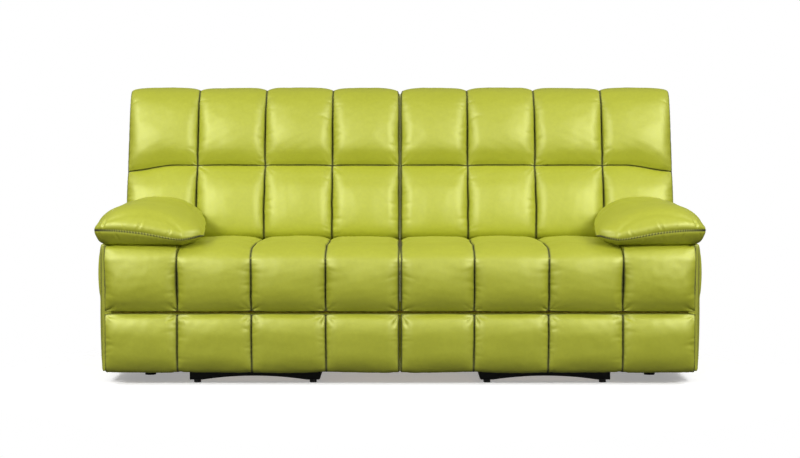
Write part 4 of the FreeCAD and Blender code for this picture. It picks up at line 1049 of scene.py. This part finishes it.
def arm_pad():
    t = np.linspace(0, 1, int((PAD_OUTER - PAD_INNER) / PAD_STEP))
    across = -np.cos(math.pi * t) * PAD_BUNCHED + (2 * t - 1) * (1 - PAD_BUNCHED)
    s = np.linspace(0, 1, PAD_ROWS)
    along = PAD_FORWARD * (1 - np.cos(math.pi * s / 2))
    along += (1 - PAD_FORWARD) * s ** PAD_FORWARD_POWER
    top, under = arm_grid(across, along, True), arm_grid(across, along, False)
    for layer in (top, under):
        face_depth, face_height = BACK_FACE
        face = face_depth + (layer[..., 2] - face_height) * math.tan(BACK_LEAN) - BACK_CLEAR
        rearward = share_of(layer[..., 1], 0, PAD_REAR)
        layer[..., 1] -= (PAD_REAR - face) * rearward ** BACK_FIT_POWER
    top_normals, under_normals = grid_normals(top), -grid_normals(under)
    rng = np.random.default_rng(PAD_SEED)
    gather(top, top_normals, True, rng)
    gather(under, under_normals, False, rng)
    rim = np.concatenate([top[0], top[:, 0], top[:, -1]])[::2]
    gaps = [rim_gap(layer, rim) for layer in (top, under)]
    outward = unit(top_normals + under_normals, 1e-6)
    for layer, gap in zip((top, under), gaps):
        layer -= outward * (GROOVE_DEEP * bell(gap, GROOVE_WIDE))[..., None]
    under[0], under[:, 0], under[:, -1] = top[0], top[:, 0], top[:, -1]
    # Painted shade along the welt, on both skins
    top_seam, under_seam = (seam_weight(gap, *PAD_SEAM) for gap in gaps)
    points, faces, seam, pinned = closed_mesh(
        Patch(top, top_seam, np.ones(top_seam.shape, bool)), under, 0)
    seam[top_seam.size:] = under_seam.ravel()
    return points, faces, seam, pinned


both("arm_pillow", [arm_pad()], "sofa_frame", "arm_pad", 81)


# Arm covers, smoothed from the solid's outer form, with seams down the two outer edges

COVER_VOXEL = 0.005
COVER_ROUNDS = 4
COVER_EDGE_X = 1058
COVER_EDGE_DEPTHS = (105, 747)
COVER_SEAM = (0.9, 6.0)


def arm_cover():
    item = added("arm_skin_right", nodes["arm_cover_right"].data.copy())
    even = item.modifiers.new("even", "REMESH")
    even.mode = "VOXEL"
    even.voxel_size = COVER_VOXEL
    even.use_smooth_shade = True
    smooth = item.modifiers.new("smooth", "SMOOTH")
    smooth.factor = 0.5
    smooth.iterations = COVER_ROUNDS
    evaluated = item.evaluated_get(bpy.context.evaluated_depsgraph_get())
    mesh = bpy.data.meshes.new_from_object(evaluated)
    item.modifiers.clear()
    item.data = mesh
    mesh.materials.clear()
    mesh.materials.append(panel_hide)
    points = coordinates(item)
    x, d = points[:, 0] / MM, (points[:, 1] - FRONT_PLANE) / MM
    gaps = [np.hypot(x - COVER_EDGE_X, d - depth) for depth in COVER_EDGE_DEPTHS]
    paint_seam(mesh, seam_weight(np.minimum(*gaps), *COVER_SEAM))
    return item


cover_right = arm_cover()
cover_left = mirrored(cover_right, "arm_skin_left")
for item, (side, _) in zip((cover_right, cover_left), SIDES):
    leather_piece(item, "sofa_frame", f"arm_cover_{side}")


# Footrest springs: coils from the front board to the drive tube's peg

COIL_START = (124, 292)
COIL_END = (296, 232)
COIL_RADIUS = 7.6
COIL_WIRE = 1.2
COIL_TURNS = 26
COIL_STEPS = 20
WIRE_ROUNDING = 3


def coil(name, x):
    """A wire wound about the line from the coil's start to its end, at one x."""
    start, end = np.array((x, *COIL_START), float), np.array((x, *COIL_END), float)
    long = np.linalg.norm(end - start)
    axis = (end - start) / long
    side = np.cross(axis, (1.0, 0.0, 0.0))
    side /= np.linalg.norm(side)
    third = np.cross(axis, side)
    curve = bpy.data.curves.new(name, "CURVE")
    curve.dimensions = "3D"
    curve.bevel_depth = COIL_WIRE * MM
    curve.bevel_resolution = WIRE_ROUNDING
    line = curve.splines.new("POLY")
    count = COIL_TURNS * COIL_STEPS
    line.points.add(count)
    for number in range(count + 1):
        t = number / count
        angle = 2 * math.pi * COIL_TURNS * t
        around = side * math.cos(angle) + third * math.sin(angle)
        line.points[number].co = (*to_frame(start + axis * long * t + COIL_RADIUS * around), 1)
    curve.materials.append(spring_steel)
    wire = added(name, curve)
    bpy.context.view_layer.update()
    evaluated = wire.evaluated_get(bpy.context.evaluated_depsgraph_get())
    mesh = bpy.data.meshes.new_from_object(evaluated)
    bpy.data.objects.remove(wire)
    mesh.polygons.foreach_set("use_smooth", [True] * len(mesh.polygons))
    return added(name + "_coil", mesh)


for side, _ in SIDES:
    low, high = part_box(f"footrest_spring_{side}")
    spring = coil(f"footrest_{side}", (low.x + high.x) / 2 / MM)
    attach(spring, "sofa_frame")
    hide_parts(f"footrest_spring_{side}")


# Room: a pale floor, soft boxes on both sides and a white sky

FLOOR = [(-9, -7, 0), (9, -7, 0), (9, 9, 0), (-9, 9, 0)]
FLOOR_TONE = (0.08, 0.08, 0.08)
FLOOR_SEEN = (1.0, 1.0, 1.0)
FLOOR_BASE = (0.8, 0.8, 0.8)
FLOOR_ROUGHNESS = 0.5
FLOOR_GLOW = 0.17
FADE_SCALE = (0.55, 0.6, 1.0)
FADE_SHIFT = (0, 0.12, 0)
FADE = {"From Min": 0.52, "From Max": 0.86}

# Name ending, place, target, width, height, watts, and whether it casts shadows and shows in glossy
# reflections; each is set on both sides
SOFTBOXES = (
    ("", (2.9, -3.9, 3.0), (0.25, 0, 0.5), 1.9, 1.7, 158, True),
    ("_high", (3.2, -1.2, 3.3), (0.5, 0, 0.6), 1.2, 1.2, 50, True),
    ("_rear", (3.3, 4.4, 1.9), (0.3, 0.3, 0.4), 1.8, 1.6, 105, False),
)
SKY = {"From Min": -0.15, "From Max": 0.6, "To Min": 0.04, "To Max": 0.28}
SKY_SEEN = 1.0


def floor():
    """A pale floor that fades into the white room round the sofa and keeps its shadow."""
    mesh = bpy.data.meshes.new("floor")
    mesh.from_pydata(FLOOR, [], [(0, 1, 2, 3)])
    item = added("floor", mesh)
    material, tree, base, place = shader("pale_floor", FLOOR_BASE, FLOOR_ROUGHNESS)
    seen = tree.nodes.new("ShaderNodeLightPath").outputs["Is Camera Ray"]
    tree.links.new(mixed(tree, seen, FLOOR_TONE, FLOOR_SEEN), base.inputs["Base Color"])
    squeeze = tree.nodes.new("ShaderNodeMapping")
    squeeze.inputs["Scale"].default_value = FADE_SCALE
    squeeze.inputs["Location"].default_value = FADE_SHIFT
    tree.links.new(place, squeeze.inputs["Vector"])
    reach = tree.nodes.new("ShaderNodeVectorMath")
    reach.operation = "LENGTH"
    tree.links.new(squeeze.outputs["Vector"], reach.inputs[0])
    fade = eased(tree, reach.outputs["Value"], FADE)
    clear = tree.nodes.new("ShaderNodeBsdfTransparent")
    base.inputs["Emission Color"].default_value = (1, 1, 1, 1)
    glow = maths(tree, "MULTIPLY_ADD", seen, FLOOR_GLOW, 0.0)
    tree.links.new(glow, base.inputs["Emission Strength"])
    surface = tree.nodes.new("ShaderNodeMixShader")
    tree.links.new(fade, surface.inputs["Fac"])
    tree.links.new(base.outputs["BSDF"], surface.inputs[1])
    tree.links.new(clear.outputs["BSDF"], surface.inputs[2])
    output = tree.nodes["Material Output"]
    tree.links.new(surface.outputs["Shader"], output.inputs["Surface"])
    mesh.materials.append(material)


def softbox(name, place, target, wide, high, power, shadow):
    lamp = bpy.data.lights.new(name, "AREA")
    lamp.shape = "RECTANGLE"
    lamp.size = wide
    lamp.size_y = high
    lamp.energy = power
    lamp.use_shadow = shadow
    item = added(name, lamp)
    item.location = place
    item.rotation_euler = (Vector(target) - Vector(place)).to_track_quat("-Z", "Y").to_euler()
    item.visible_glossy = shadow


def sky():
    """White behind the sofa, and brighter above than below where the leather mirrors it."""
    world = bpy.data.worlds.new("studio")
    scene.world = world
    world.use_nodes = True
    tree = world.node_tree
    background = tree.nodes["Background"]
    background.inputs["Color"].default_value = (1, 1, 1, 1)
    seen = tree.nodes.new("ShaderNodeLightPath")
    way = tree.nodes.new("ShaderNodeTexCoord")
    parts = tree.nodes.new("ShaderNodeSeparateXYZ")
    tree.links.new(way.outputs["Generated"], parts.inputs["Vector"])
    lit = eased(tree, parts.outputs["Z"], SKY)
    level = mixed(tree, seen.outputs["Is Camera Ray"], lit, SKY_SEEN, data="FLOAT")
    tree.links.new(level, background.inputs["Strength"])


floor()
for side, sign in reversed(SIDES):
    for ending, (x, y, z), (aim_x, aim_y, aim_z), *light in SOFTBOXES:
        softbox(f"softbox_{side}{ending}", (sign * x, y, z), (sign * aim_x, aim_y, aim_z), *light)
sky()


# Camera

LENS = 80.4
SENSOR = 36.0
CAMERA_PLACE = (0, -6.673, 0.895)
CAMERA_PITCH = -3.17

lens = bpy.data.cameras.new("camera")
lens.lens = LENS
lens.sensor_width = SENSOR
camera = added("camera", lens)
camera.location = CAMERA_PLACE
camera.rotation_euler = (math.radians(90 + CAMERA_PITCH), 0, 0)
scene.camera = camera
scene.view_settings.view_transform = "Standard"
